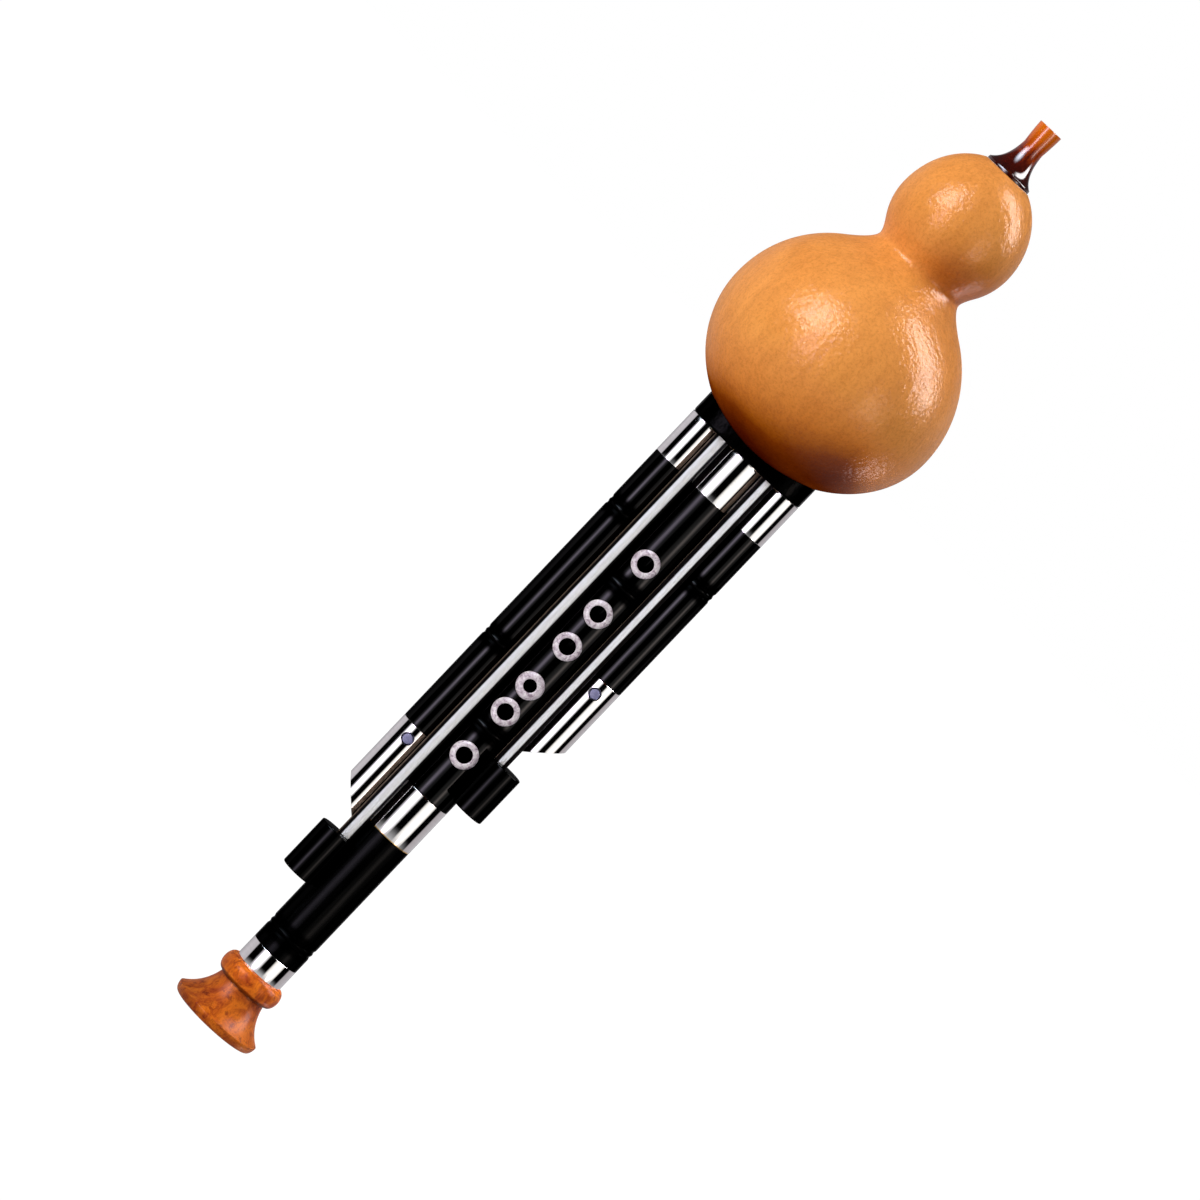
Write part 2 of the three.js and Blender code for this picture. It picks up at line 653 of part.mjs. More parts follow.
// Wind chest: gourd, mouthpiece and base block
function addWindChest() {
  const corkBottom = mouthpieceZ - mouthpieceSpigotLength;
  const corkTop = gourdTopZ - fitGap;
  const cork = tube(mouthpieceCorkRadius, mouthpieceSpigotRadius + fitGap, corkBottom, corkTop, droneSteps);
  add('gourd', gourd(), gourdFinish);
  add('mouthpiece', mouthpiece(), amberFinish, -gourdLean);
  add('mouthpiece_cork', cork, corkFinish, -gourdLean);
  add('base_block', baseBlock(), blackFinish);
}

// Reed plate in its own plane: a rectangle with a narrow slit round two sides and the tip of the tongue
function reedPlate(width, length, centreZ) {
  const half = length / 2;
  const plate = new THREE.Shape([
    new THREE.Vector2(-width / 2, -half), new THREE.Vector2(width / 2, -half),
    new THREE.Vector2(width / 2, half), new THREE.Vector2(-width / 2, half),
  ]);
  const rootZ = -length * tongueLengthShare / 2;
  const tipZ = -rootZ;
  const rootHalf = width * tongueRootShare / 2;
  const tipHalf = width * tongueTipShare / 2;
  plate.holes.push(new THREE.Path([
    new THREE.Vector2(-rootHalf - reedSlit, rootZ), new THREE.Vector2(-tipHalf - reedSlit, tipZ + reedSlit),
    new THREE.Vector2(tipHalf + reedSlit, tipZ + reedSlit), new THREE.Vector2(rootHalf + reedSlit, rootZ),
    new THREE.Vector2(rootHalf, rootZ), new THREE.Vector2(tipHalf, tipZ),
    new THREE.Vector2(-tipHalf, tipZ), new THREE.Vector2(-rootHalf, rootZ),
  ]));
  const options = { depth: reedThickness, bevelEnabled: false };
  return new THREE.ExtrudeGeometry(plate, options).rotateX(Math.PI / 2).translate(0, 0, centreZ);
}

// A box by its middle and size
function box(width, depth, height, x, y, z) {
  return new THREE.BoxGeometry(width, depth, height).translate(x, y, z);
}

// One reed tube with its reed on a flat at the back and a plug in its top
function addReedTube(name, x, sizes) {
  const { radius, wall, bottom, top, reedWidth, reedLength, reedZ, headRadius } = sizes;
  const flat = radius - reedFlatDrop;
  const flatCut = box(2 * radius, radius, reedLength + 2 * fitGap, 0, flat + radius / 2, reedZ);
  const windowHeight = reedLength * reedWindowShare + reedSlit;
  const window = box(reedWidth * reedWindowShare, radius, windowHeight, 0, radius / 2, reedZ);
  const bore = radius - wall;
  const plug = turned([
    [0, top - reedPlugDepth], [bore - fitGap, top - reedPlugDepth], [bore - fitGap, top + fitGap],
    [headRadius, top + fitGap], [headRadius, top + reedPlugHead], [0, top + reedPlugHead],
  ], smallSteps);
  const plate = reedPlate(reedWidth, reedLength, reedZ).translate(0, flat + fitGap + reedThickness, 0);
  add(`${name}_reed_tube`, cut(tube(radius, bore, bottom, top, smallSteps), flatCut, window), brassFinish, x);
  add(`${name}_reed`, plate, brassFinish, x);
  add(`${name}_reed_plug`, plug, blackFinish, x);
}

// The three reed tubes; each drone's plug is also the stop that its sleeve rises to
function addReeds() {
  const mainReedZ = plugTopZ + mainReedMargin + mainReedLength / 2;
  addReedTube('main', 0, {
    radius: mainReedTubeRadius, wall: mainReedTubeWall, bottom: mainSocketTopZ,
    top: mainReedZ + mainReedLength / 2 + mainReedMargin + reedPlugDepth, headRadius: mainReedTubeRadius,
    reedWidth: mainReedWidth, reedLength: mainReedLength, reedZ: mainReedZ,
  });
  for (const [name, side] of [['left', -1], ['right', 1]]) {
    addReedTube(name, side * droneX, {
      radius: droneReedTubeRadius, wall: droneReedTubeWall, bottom: droneSocketTopZ,
      top: sleeveTopZ + reedTubeSpare, headRadius: sleeveRadius,
      reedWidth: droneReedWidth, reedLength: droneReedLength, reedZ: sleeveZ + sleeveHeight / 2,
    });
  }
}

// Knob: a turned cylinder with eased edges, bored off its centre for the rod's spigot
function knob(top, boreX, boreY) {
  const bottom = top - knobHeight;
  const edge = [knobEdge, knobEdge];
  const body = turned([
    [0, bottom], ...arc([knobRadius - knobEdge, bottom + knobEdge], edge, -Math.PI / 2, 0, edgeSteps),
    ...arc([knobRadius - knobEdge, top - knobEdge], edge, 0, Math.PI / 2, edgeSteps), [0, top],
  ], droneSteps);
  const boreBottom = top - rodSpigotLength - fitGap;
  const bore = cylinder(rodSpigotRadius + fitGap, boreBottom, top + overrun, smallSteps);
  return cut(body, bore.translate(boreX, boreY, 0));
}

// Sleeve that shuts a drone's reed, with the boss that carries it on the rod and the web between
function shutter(side) {
  const reachX = side * (droneX - rodX);
  const span = Math.hypot(reachX, rodY);
  const web = box(span, webWidth, bossHeight, 0, 0, sleeveZ + bossHeight / 2);
  web.rotateZ(Math.atan2(-rodY, reachX)).translate(reachX / 2, -rodY / 2, 0);
  const body = solid(cylinder(sleeveRadius, sleeveZ, sleeveTopZ, smallSteps).translate(reachX, -rodY, 0))
    .add(solid(cylinder(bossRadius, sleeveZ, sleeveZ + bossHeight, smallSteps)))
    .add(solid(web));
  const bore = cylinder(sleeveBoreRadius, sleeveZ - overrun, sleeveTopZ + overrun, smallSteps);
  const rodHole = cylinder(rodSpigotRadius + fitGap, sleeveZ - overrun, sleeveTopZ + overrun, smallSteps);
  return cut(body, bore.translate(reachX, -rodY, 0), rodHole);
}

// One drone stop: rod, knob, sleeve and nut, with its bush and seal in the block
function addStop(name, side, capTip, knobDrop) {
  const x = side * rodX;
  const knobTop = capTip - knobDrop;
  const bossTop = sleeveZ + bossHeight;
  const nutBottom = bossTop + fitGap;
  const tip = nutBottom + nutHeight + rodTipProud;
  const rod = turned([
    [0, knobTop - rodSpigotLength], [rodSpigotRadius, knobTop - rodSpigotLength],
    [rodSpigotRadius, knobTop + fitGap], [rodRadius, knobTop + fitGap], [rodRadius, sleeveZ - fitGap],
    [rodSpigotRadius, sleeveZ - fitGap], [rodSpigotRadius, tip], [0, tip],
  ], smallSteps);
  const nutBore = cylinder(rodSpigotRadius + fitGap, bossTop, tip, smallSteps);
  const nut = cut(cylinder(nutRadius, nutBottom, nutBottom + nutHeight, hexSides), nutBore);
  const spigotX = side * (rodX - knobX);
  const spigotY = rodY - knobY;
  const bushBottom = blockZ + seatGap;
  const sealBottom = bushTopZ + fitGap;
  const sealTop = sealBottom + sealHeight;
  const bush = tube(bushRadius, rodBoreRadius, bushBottom, bushTopZ, smallSteps);
  const seal = tube(bushRadius, rodBoreRadius, sealBottom, sealTop, smallSteps);
  add(`${name}_rod`, rod, metalFinish, x, rodY);
  add(`${name}_knob`, knob(knobTop, spigotX, spigotY), blackFinish, side * knobX, knobY);
  add(`${name}_shutter`, shutter(side), brassFinish, x, rodY);
  add(`${name}_rod_nut`, nut, brassFinish, x, rodY);
  add(`${name}_rod_bush`, bush, brassFinish, x, rodY);
  add(`${name}_rod_seal`, seal, feltFinish, x, rodY);
}

addWindChest();
addReeds();
addMainPipe();
addTail();
addDrone('left_drone', -1, leftDroneLength, leftDroneBandShares, leftCapLength, leftCapSlant);
addDrone('right_drone', 1, rightDroneLength, rightDroneBandShares, rightCapLength, rightCapSlant);
addStop('left', -1, mainTopZ - leftDroneLength - leftCapLength, leftKnobDrop);
addStop('right', 1, mainTopZ - rightDroneLength - rightCapLength, rightKnobDrop);

export default root;
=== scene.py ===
"""Hulusi: a gourd wind chest, a ringed melody pipe with a burl bell, and two capped drones with stops.

The classes hold their sizes in millimetres and make their meshes in metres. +Z runs up the pipes to the
mouthpiece, the finger holes face -Y, and the bell's mouth is at zero.
"""
import logging
import math
from dataclasses import dataclass, replace
from enum import Enum
from functools import cache

import bmesh
import bpy
import numpy as np
from mathutils import Matrix, Vector


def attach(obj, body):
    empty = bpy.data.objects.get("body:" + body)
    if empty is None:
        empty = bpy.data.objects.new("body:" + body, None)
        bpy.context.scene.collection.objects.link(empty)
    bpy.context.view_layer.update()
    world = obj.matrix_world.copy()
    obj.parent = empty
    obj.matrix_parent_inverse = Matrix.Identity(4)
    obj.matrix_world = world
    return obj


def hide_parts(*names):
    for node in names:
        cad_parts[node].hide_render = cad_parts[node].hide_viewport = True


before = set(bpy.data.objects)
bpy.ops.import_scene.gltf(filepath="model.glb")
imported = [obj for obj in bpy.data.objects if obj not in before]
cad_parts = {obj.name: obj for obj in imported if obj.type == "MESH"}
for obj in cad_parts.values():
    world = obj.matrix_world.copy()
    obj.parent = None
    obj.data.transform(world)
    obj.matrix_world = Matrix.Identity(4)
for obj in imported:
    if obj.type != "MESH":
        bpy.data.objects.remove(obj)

LOG = logging.getLogger("hulusi")
MM = 0.001
Array = np.ndarray
Colour = tuple[float, float, float]
Point = tuple[float, float, float]
Pair = tuple[float, float]
WHITE: Colour = (1.0, 1.0, 1.0)
FIT_GAP = 0.15  # between pieces that are fitted together, in millimetres
OVERRUN = 2.0  # of a cutter past what it cuts, in millimetres


class Side(Enum):
    """Which side of the melody pipe a drone and its stop stand on."""

    LEFT = -1
    RIGHT = 1


# Profiles: arrays of (radius, height) pairs


def arc(centre: Pair, radii: Pair, start: float, stop: float, steps: int = 24) -> Array:
    """Points of an elliptical arc: the centre plus the radii times the cosine and sine of the angle.

    Args:
        centre: Centre of the ellipse.
        radii: Half its width and half its height.
        start: First angle, in degrees.
        stop: Last angle, in degrees.
        steps: Number of stretches.

    Returns:
        Array of pairs, one row a point.
    """
    angle = np.radians(np.linspace(start, stop, steps + 1))
    return np.column_stack([centre[0] + radii[0] * np.cos(angle), centre[1] + radii[1] * np.sin(angle)])


def bend(start: Pair, pull: Pair, end: Pair, steps: int = 20) -> Array:
    """Points of a quadratic bend from start to end: the three points weighted by (1-t)^2, 2t(1-t) and t^2.

    Args:
        start: First point.
        pull: Point that the bend leans towards.
        end: Last point.
        steps: Number of stretches.

    Returns:
        Array of pairs, one row a point.
    """
    t = np.linspace(0, 1, steps + 1)[:, None]
    return (1 - t) ** 2 * np.array(start) + 2 * t * (1 - t) * np.array(pull) + t**2 * np.array(end)


def eased(profile: Array, radius: float, closed: bool = True, steps: int = 3) -> Array:
    """Rounds a profile's corners: each is replaced by a short quadratic bend between points set back from it.

    Args:
        profile: Array of pairs.
        radius: How far back from each corner the bend begins.
        closed: Whether the last point joins the first; if not, both ends stay as they are.
        steps: Number of stretches in each bend.

    Returns:
        Array of pairs with the corners eased. Nearly straight joints keep one point, several times over.
    """
    before = np.roll(profile, 1, axis=0) - profile
    after = np.roll(profile, -1, axis=0) - profile
    reach = np.minimum(np.linalg.norm(before, axis=1), np.linalg.norm(after, axis=1))
    before /= np.maximum(np.linalg.norm(before, axis=1), 1e-9)[:, None]
    after /= np.maximum(np.linalg.norm(after, axis=1), 1e-9)[:, None]
    turn = (before * after).sum(axis=1)
    back = np.where(turn > -0.93, np.minimum(radius, 0.45 * reach), 0.0)
    if not closed:
        back[[0, -1]] = 0.0
    t = np.linspace(0, 1, steps + 1)[None, :, None]
    first = (profile + before * back[:, None])[:, None]
    last = (profile + after * back[:, None])[:, None]
    return ((1 - t) ** 2 * first + 2 * t * (1 - t) * profile[:, None] + t**2 * last).reshape(-1, 2)


def joined(*stretches: Array | list[Pair]) -> Array:
    """One profile from several stretches, in order."""
    return np.concatenate([np.asarray(stretch, float).reshape(-1, 2) for stretch in stretches])


def straight(inner: float, outer: float, low: float, high: float) -> Array:
    """Profile of a straight-sided ring, or of a rod if its inner radius is zero."""
    return np.array([(inner, low), (outer, low), (outer, high), (inner, high)])


def share_between(value: Array, start: float, end: float) -> Array:
    """How far values have come from a start, 0, to an end, 1, held at both."""
    return np.clip((value - start) / (end - start), 0, 1)


def all_round(steps: int) -> Array:
    """Angles of even steps once round, in radians."""
    return 2 * np.pi * np.arange(steps) / steps


# Surfaces: grids of points


@dataclass
class Surface:
    """A grid of points, rows by columns, whose columns run round and close.

    Attributes:
        points: Array of rows, columns and three coordinates, in millimetres.
        closed: Whether the last row joins the first too.
    """

    points: Array
    closed: bool = True

    def quads(self, start: int) -> Array:
        """Faces of the grid, numbered from a first point.

        Args:
            start: Number of the grid's first point in the whole mesh.

        Returns:
            Array of four point numbers a face.
        """
        rows, columns = self.points.shape[:2]
        index = start + np.arange(rows * columns).reshape(rows, columns)
        low = index if self.closed else index[:-1]
        high = np.roll(index, -1, axis=0) if self.closed else index[1:]
        return np.stack([low, np.roll(low, -1, 1), np.roll(high, -1, 1), high], axis=-1).reshape(-1, 4)

    def moved(self, x: float = 0.0, y: float = 0.0, z: float = 0.0) -> "Surface":
        """The same grid, moved."""
        return Surface(self.points + np.array([x, y, z]), self.closed)

    def facing_back(self) -> "Surface":
        """The same grid, turned half round the upright axis."""
        return Surface(self.points * np.array([-1.0, -1.0, 1.0]), self.closed)


def turned(profile: Array, steps: int = 96, closed: bool = True) -> Surface:
    """A profile turned about the upright axis: x = r cos a, y = r sin a, z = h.

    Args:
        profile: Pairs of radius and height.
        steps: Facets round the axis.
        closed: Whether the profile is a loop; if not, its ends lie on the axis.

    Returns:
        The turned surface.
    """
    angle = all_round(steps)
    radius, height = profile.T[:, :, None]
    x, y = radius * np.cos(angle), radius * np.sin(angle)
    return Surface(np.stack([x, y, np.broadcast_to(height, x.shape)], axis=-1), closed)


def wrapped(profile: Array, pipe_radius: float, height: float, closed: bool, steps: int = 72) -> Surface:
    """A profile turned about the front's level axis and wrapped on a pipe.

    A point at distance r and angle a goes to x = r sin a and z = height + r cos a, and stands proud of the
    pipe: y = -(proud + sqrt(R^2 - x^2)).

    Args:
        profile: Pairs of radius and how proud of the pipe.
        pipe_radius: Radius R of the pipe.
        height: Height of the axis.
        closed: Whether the profile is a loop.
        steps: Facets round the axis.

    Returns:
        The wrapped surface.
    """
    angle = all_round(steps)
    radius, proud = profile.T[:, :, None]
    x, z = radius * np.sin(angle), height + radius * np.cos(angle)
    y = -(proud + np.sqrt(pipe_radius**2 - x**2))
    return Surface(np.stack([x, y, z], axis=-1), closed)


def rod_ahead(profile: Array, height: float, steps: int = 48) -> Surface:
    """A profile of (radius, distance ahead of the pipe's axis), turned about a level axis to the front.

    Args:
        profile: Pairs of radius and distance ahead.
        height: Height of the axis.
        steps: Facets round the axis.

    Returns:
        The turned surface, open at both ends, which lie on the axis.
    """
    angle = all_round(steps)
    radius, ahead = profile.T[:, :, None]
    x, z = radius * np.sin(angle), height + radius * np.cos(angle)
    return Surface(np.stack([x, np.broadcast_to(-ahead, x.shape), z], axis=-1), False)


def oblong(half_width: float, half_depth: float, power: float, steps: int = 160) -> Array:
    """Plan of a rounded oblong, |x/w|^p + |y/d|^p = 1, as x = w cos^(2/p) a and y = d sin^(2/p) a, signed.

    Args:
        half_width: Half its width w.
        half_depth: Half its depth d.
        power: The power p; 2 is an ellipse.
        steps: Number of points.

    Returns:
        Array of pairs, one row a point.
    """
    waves = np.column_stack([np.cos(all_round(steps)), np.sin(all_round(steps))])
    return np.array([half_width, half_depth]) * np.sign(waves) * np.abs(waves) ** (2 / power)


# Meshes


def mesh_object(name: str, surfaces: list[Surface]) -> bpy.types.Object:
    """An object of closed surfaces, with seams and poles welded, faces outward and smooth shading.

    Args:
        name: Name of the piece.
        surfaces: Its surfaces.

    Returns:
        The new object, linked to the scene.
    """
    points = np.concatenate([surface.points.reshape(-1, 3) for surface in surfaces]) * MM
    starts = np.cumsum([0] + [surface.points[..., 0].size for surface in surfaces[:-1]])
    quads = np.concatenate([surface.quads(start) for surface, start in zip(surfaces, starts)])
    mesh = bpy.data.meshes.new(name)
    mesh.from_pydata(points.tolist(), [], quads.tolist())
    welded = bmesh.new()
    welded.from_mesh(mesh)
    bmesh.ops.remove_doubles(welded, verts=welded.verts, dist=1e-6)
    bmesh.ops.recalc_face_normals(welded, faces=welded.faces)
    welded.to_mesh(mesh)
    welded.free()
    smooth(mesh)
    piece = bpy.data.objects.new(name, mesh)
    bpy.context.scene.collection.objects.link(piece)
    return piece


def smooth(mesh: bpy.types.Mesh, angle: float = 32.0) -> None:
    """Shades a mesh smooth, apart from edges that turn by more than an angle in degrees."""
    mesh.polygons.foreach_set("use_smooth", np.ones(len(mesh.polygons), bool))
    mesh.set_sharp_from_angle(angle=math.radians(angle))


def carved(piece: bpy.types.Object, cutters: list[Surface]) -> bpy.types.Object:
    """Cuts closed surfaces out of a piece.

    Args:
        piece: The piece to cut.
        cutters: Closed surfaces that don't meet each other.

    Returns:
        The same object, with its cut mesh.
    """
    knife = mesh_object(piece.name + "_knife", cutters)
    modifier = piece.modifiers.new("carve", "BOOLEAN")
    modifier.operation = "DIFFERENCE"
    modifier.solver = "EXACT"
    modifier.object = knife
    graph = bpy.context.evaluated_depsgraph_get()
    mesh = bpy.data.meshes.new_from_object(piece.evaluated_get(graph))
    piece.modifiers.clear()
    old, piece.data = piece.data, mesh
    mesh.name = piece.name
    bpy.data.meshes.remove(old)
    bpy.data.meshes.remove(knife.data)
    smooth(mesh)
    return piece


# Materials


class Graph:
    """A material's or world's node graph, with short calls for the nodes that the finishes share."""

    def __init__(self, tree: bpy.types.NodeTree) -> None:
        """Starts from an empty tree."""
        self.tree = tree
        tree.nodes.clear()

    def add(self, kind: str, inputs: dict | None = None, **settings: object) -> bpy.types.Node:
        """Adds a node.

        Args:
            kind: The node's type.
            inputs: Values or sockets for its inputs, by name or number.
            **settings: Attributes of the node itself.

        Returns:
            The new node.
        """
        node = self.tree.nodes.new(kind)
        for name, value in settings.items():
            setattr(node, name, value)
        for key, value in (inputs or {}).items():
            if isinstance(value, bpy.types.NodeSocket):
                self.tree.links.new(value, node.inputs[key])
            else:
                node.inputs[key].default_value = value
        return node

    def place(self, scale: Point = (1.0, 1.0, 1.0)) -> bpy.types.NodeSocket:
        """Object coordinates in metres, scaled."""
        where = self.add("ShaderNodeTexCoord").outputs["Object"]
        return self.add("ShaderNodeMapping", {"Vector": where, "Scale": scale}).outputs[0]

    def noise(self, where: bpy.types.NodeSocket, scale: float, detail: float = 3.0, rough: float = 0.55,
              swirl: float = 0.0) -> bpy.types.NodeSocket:
        """Noise between 0 and 1, scale being how many features fit in a metre."""
        inputs = {"Vector": where, "Scale": scale, "Detail": detail, "Roughness": rough, "Distortion": swirl}
        return self.add("ShaderNodeTexNoise", inputs).outputs["Fac"]

    def ramp(self, factor: bpy.types.NodeSocket, stops: list[tuple[float, Colour]]) -> bpy.types.NodeSocket:
        """Colours blended between stops.

        Args:
            factor: Where on the ramp.
            stops: Place and colour of each stop, in order.

        Returns:
            The colour's socket.
        """
        node = self.add("ShaderNodeValToRGB", {"Fac": factor})
        elements = node.color_ramp.elements
        for place, _ in stops[2:]:
            elements.new(place)
        for element, (place, colour) in zip(elements, stops):
            element.position = place
            element.color = (*colour, 1.0)
        return node.outputs["Color"]

    def span(self, value: bpy.types.NodeSocket, low: float, high: float, start: float = 0.0,
             end: float = 1.0) -> bpy.types.NodeSocket:
        """A value's smooth step from low to high, given as start to end."""
        inputs = {"Value": value, "From Min": low, "From Max": high, "To Min": start, "To Max": end}
        return self.add("ShaderNodeMapRange", inputs, interpolation_type="SMOOTHSTEP").outputs["Result"]

    def mix(self, factor: bpy.types.NodeSocket | float, first: object, second: object,
            way: str = "MIX") -> bpy.types.NodeSocket:
        """Blends two colours or colour sockets.

        Args:
            factor: Share of the second, or a socket of it.
            first: First colour or socket.
            second: Second colour or socket.
            way: How they are blended.

        Returns:
            The blended colour's socket.
        """
        first, second = (each if isinstance(each, bpy.types.NodeSocket) else (*each, 1.0) for each in (first, second))
        inputs = {0: factor, 6: first, 7: second}
        return self.add("ShaderNodeMix", inputs, data_type="RGBA", blend_type=way).outputs[2]

    def tinted(self, colour: object, tint: object) -> bpy.types.NodeSocket:
        """A colour multiplied by another, or by a grey value."""
        return self.mix(1.0, colour, tint, "MULTIPLY")

    def math(self, operation: str, first: object, second: object = 0.0) -> bpy.types.NodeSocket:
        """One sum on two values or sockets."""
        return self.add("ShaderNodeMath", {0: first, 1: second}, operation=operation).outputs[0]

    def along(self, way: bpy.types.NodeSocket, axis: Vector) -> bpy.types.NodeSocket:
        """How far a vector goes along an axis."""
        return self.add("ShaderNodeVectorMath", {0: way, 1: axis}, operation="DOT_PRODUCT").outputs["Value"]

    def apart(self, value: bpy.types.NodeSocket, middle: float) -> bpy.types.NodeSocket:
        """How far a value is from a middle, either way."""
        return self.math("ABSOLUTE", self.math("SUBTRACT", value, middle))

    def coordinate(self, axis: str) -> bpy.types.NodeSocket:
        """Place on the object along one axis, in metres."""
        return self.add("ShaderNodeSeparateXYZ", {0: self.place()}).outputs[axis]

    def height(self) -> bpy.types.NodeSocket:
        """Height on the object."""
        return self.coordinate("Z")

    def across(self) -> bpy.types.NodeSocket:
        """Place on the object from left to right."""
        return self.coordinate("X")

    def deep(self) -> bpy.types.NodeSocket:
        """How far behind the melody pipe's axis a point lies."""
        return self.coordinate("Y")

    def bump(self, relief: bpy.types.NodeSocket, depth: float, strength: float = 1.0,
             under: bpy.types.NodeSocket | None = None) -> bpy.types.NodeSocket:
        """A bumped normal, its relief a depth in metres, over another if there is one.

        Args:
            relief: Height of the relief, from 0 to 1.
            depth: What 1 stands for, in metres.
            strength: How much of the relief shows.
            under: Normal that the relief lies on.

        Returns:
            The normal's socket.
        """
        inputs = {"Height": relief, "Distance": depth, "Strength": strength}
        if under is not None:
            inputs["Normal"] = under
        return self.add("ShaderNodeBump", inputs).outputs["Normal"]

    def blend(self, share: bpy.types.NodeSocket | float, first: bpy.types.Node,
              second: bpy.types.Node) -> bpy.types.Node:
        """Mixes two shaders, the second with a share of the whole."""
        return self.add("ShaderNodeMixShader", {0: share, 1: first.outputs[0], 2: second.outputs[0]})


@dataclass(frozen=True)
class Finish:
    """A surface finish: how a material slot of the record looks.

    Attributes:
        slot: The record's material slot; not used.
        name: Name of the material.
    """

    slot: str = ""
    name: str = ""

    @cache
    def material(self) -> bpy.types.Material:
        """Makes the material, once.

        Returns:
            The material.
        """
        material = bpy.data.materials.new(self.name)
        material.use_nodes = True
        graph = Graph(material.node_tree)
        shader = graph.add("ShaderNodeBsdfPrincipled", self.shade(graph))
        graph.add("ShaderNodeOutputMaterial", {"Surface": shader.outputs["BSDF"]})
        return material

    def shade(self, graph: Graph) -> dict[str, object]:
        """Values and sockets of the shader's inputs, by name.

        Args:
            graph: The material's graph.

        Returns:
            Values and sockets of the shader's inputs, by name.
        """
        raise NotImplementedError


@dataclass(frozen=True)
class GourdVarnish(Finish):
    """Varnished dried gourd: mottled tan, fine freckles, and a dark discolouring with painted shade round the base
    block.

    Attributes:
        pale: Palest tan.
        deep: Deepest tan.
        pool: How the tan darkens at the right of the neck, as painted shade in its crease.
        pool_top: Heights where the painted shade is gone and whole above, in metres.
        pool_foot: Heights where the painted shade is gone and whole below, in metres.
        pool_across: Places from left to right where it begins and is whole, in metres.
        stain_low: Height where the discolouring and its painted shade are whole, in metres.
        stain_high: Height where they are gone, in metres.
        lean_right: How much higher the painted shade climbs for each metre to the right, on the shaded side.
        lean_left: The same to the left, on the lit side, where it climbs less.
        lean_at: Height where it climbs most, in metres.
        lean_reach: How far from there it climbs at all, in metres.
        lean_stop: Places at the right where it has stopped climbing and where it still climbs, in metres.
        ragged: How far its ragged edge wanders, in metres.
        stain: How the tan darkens, from whole discolouring and painted shade to none.
        coat: Weight of the gloss coat.
        coat_foot: Heights where the coat begins and is whole, in metres.
        coat_back: Places behind the axis where the coat begins to thin and where it is thinnest, in metres.
        coat_left: Share of the coat that is left there.
    """

    slot: str = "gourd_shell"
    name: str = "gourd_varnish"
    pale: Colour = (0.93, 0.365, 0.076)
    deep: Colour = (0.82, 0.3, 0.056)
    pool: Colour = (0.66, 0.5, 0.2)
    pool_top: Pair = (0.387, 0.37)
    pool_foot: Pair = (0.36, 0.3645)
    pool_across: Pair = (-0.009, 0.009)
    stain_low: float = 0.279
    stain_high: float = 0.319
    lean_right: float = 0.48
    lean_left: float = 0.22
    lean_at: float = 0.3
    lean_reach: float = 0.017
    lean_stop: Pair = (0.04, 0.024)
    ragged: float = 0.006
    stain: tuple[tuple[float, Colour], ...] = (
        (0.0, (0.08, 0.015, 0.005)),
        (0.1, (0.15, 0.034, 0.01)),
        (0.175, (0.28, 0.11, 0.02)),
        (0.25, (0.37, 0.17, 0.03)),
        (0.35, (0.62, 0.4, 0.09)),
        (0.475, (0.83, 0.62, 0.27)),
        (0.6, (0.95, 0.8, 0.53)),
        (0.85, (1.0, 0.95, 0.93)),
        (1.0, WHITE),
    )
    coat: float = 0.4
    coat_foot: Pair = (0.284, 0.298)
    coat_back: Pair = (-0.004, 0.012)
    coat_left: float = 0.12

    def shade(self, graph: Graph) -> dict[str, object]:
        """Mottling at 30 mm, upright streaks, pores under 1 mm, discolouring with painted shade that fades upwards,
        and painted shade by the neck.

        Args:
            graph: The material's graph.

        Returns:
            Values and sockets of the shader's inputs, by name.
        """
        where = graph.place()
        tan = graph.ramp(graph.noise(where, 30, 3, 0.5, 0.5), [(0.3, self.deep), (0.7, self.pale)])
        streak = graph.noise(graph.place((1.0, 1.0, 0.14)), 260, 3, 0.6)
        streaked = graph.tinted(tan, graph.ramp(streak, [(0.3, (0.9, 0.87, 0.82)), (0.6, WHITE)]))
        pores = graph.noise(where, 950, 5, 0.72)
        pored = graph.tinted(streaked, graph.ramp(pores, [(0.36, (0.84, 0.77, 0.68)), (0.54, WHITE)]))
        height, across = graph.height(), graph.across()
        # Share free of the dark discolouring round the base block and its painted shade, which climbs higher on the
        # shaded right.
        share = self.unstained(graph, height, across, graph.noise(where, 60, 3))
        relief = graph.bump(graph.noise(where, 75, 3, 0.5), 0.0006, 0.5)
        skin = graph.bump(graph.noise(where, 420, 3, 0.6), 0.0002, 0.7, relief)
        peel = graph.bump(graph.noise(where, 560, 2, 0.5), 0.0004, 0.8, relief)
        # Painted shade in the neck's crease, on its right.
        neck_shaded = graph.math("MULTIPLY", graph.span(height, *self.pool_top), graph.span(height, *self.pool_foot))
        neck_shaded = graph.math("MULTIPLY", neck_shaded, graph.span(across, *self.pool_across))
        # The tan darkened by the discolouring and its painted shade.
        discoloured_and_shaded = graph.tinted(pored, graph.ramp(share, list(self.stain)))
        return {
            "Base Color": graph.mix(neck_shaded, discoloured_and_shaded, graph.tinted(discoloured_and_shaded, self.pool)),
            "Roughness": graph.span(graph.noise(where, 420, 4, 0.7), 0.3, 0.7, 0.45, 0.6),
            "Specular IOR Level": graph.span(share, 0.3, 0.7, 0.0, 0.1),
            "Normal": graph.bump(pores, 0.00012, 0.7, skin),
            "Coat Weight": graph.math("MULTIPLY", graph.span(height, *self.coat_foot, 0.0, self.coat),
                                      graph.span(graph.deep(), *self.coat_back, 1.0, self.coat_left)),
            "Coat Roughness": 0.2,
            "Coat Normal": peel,
        }

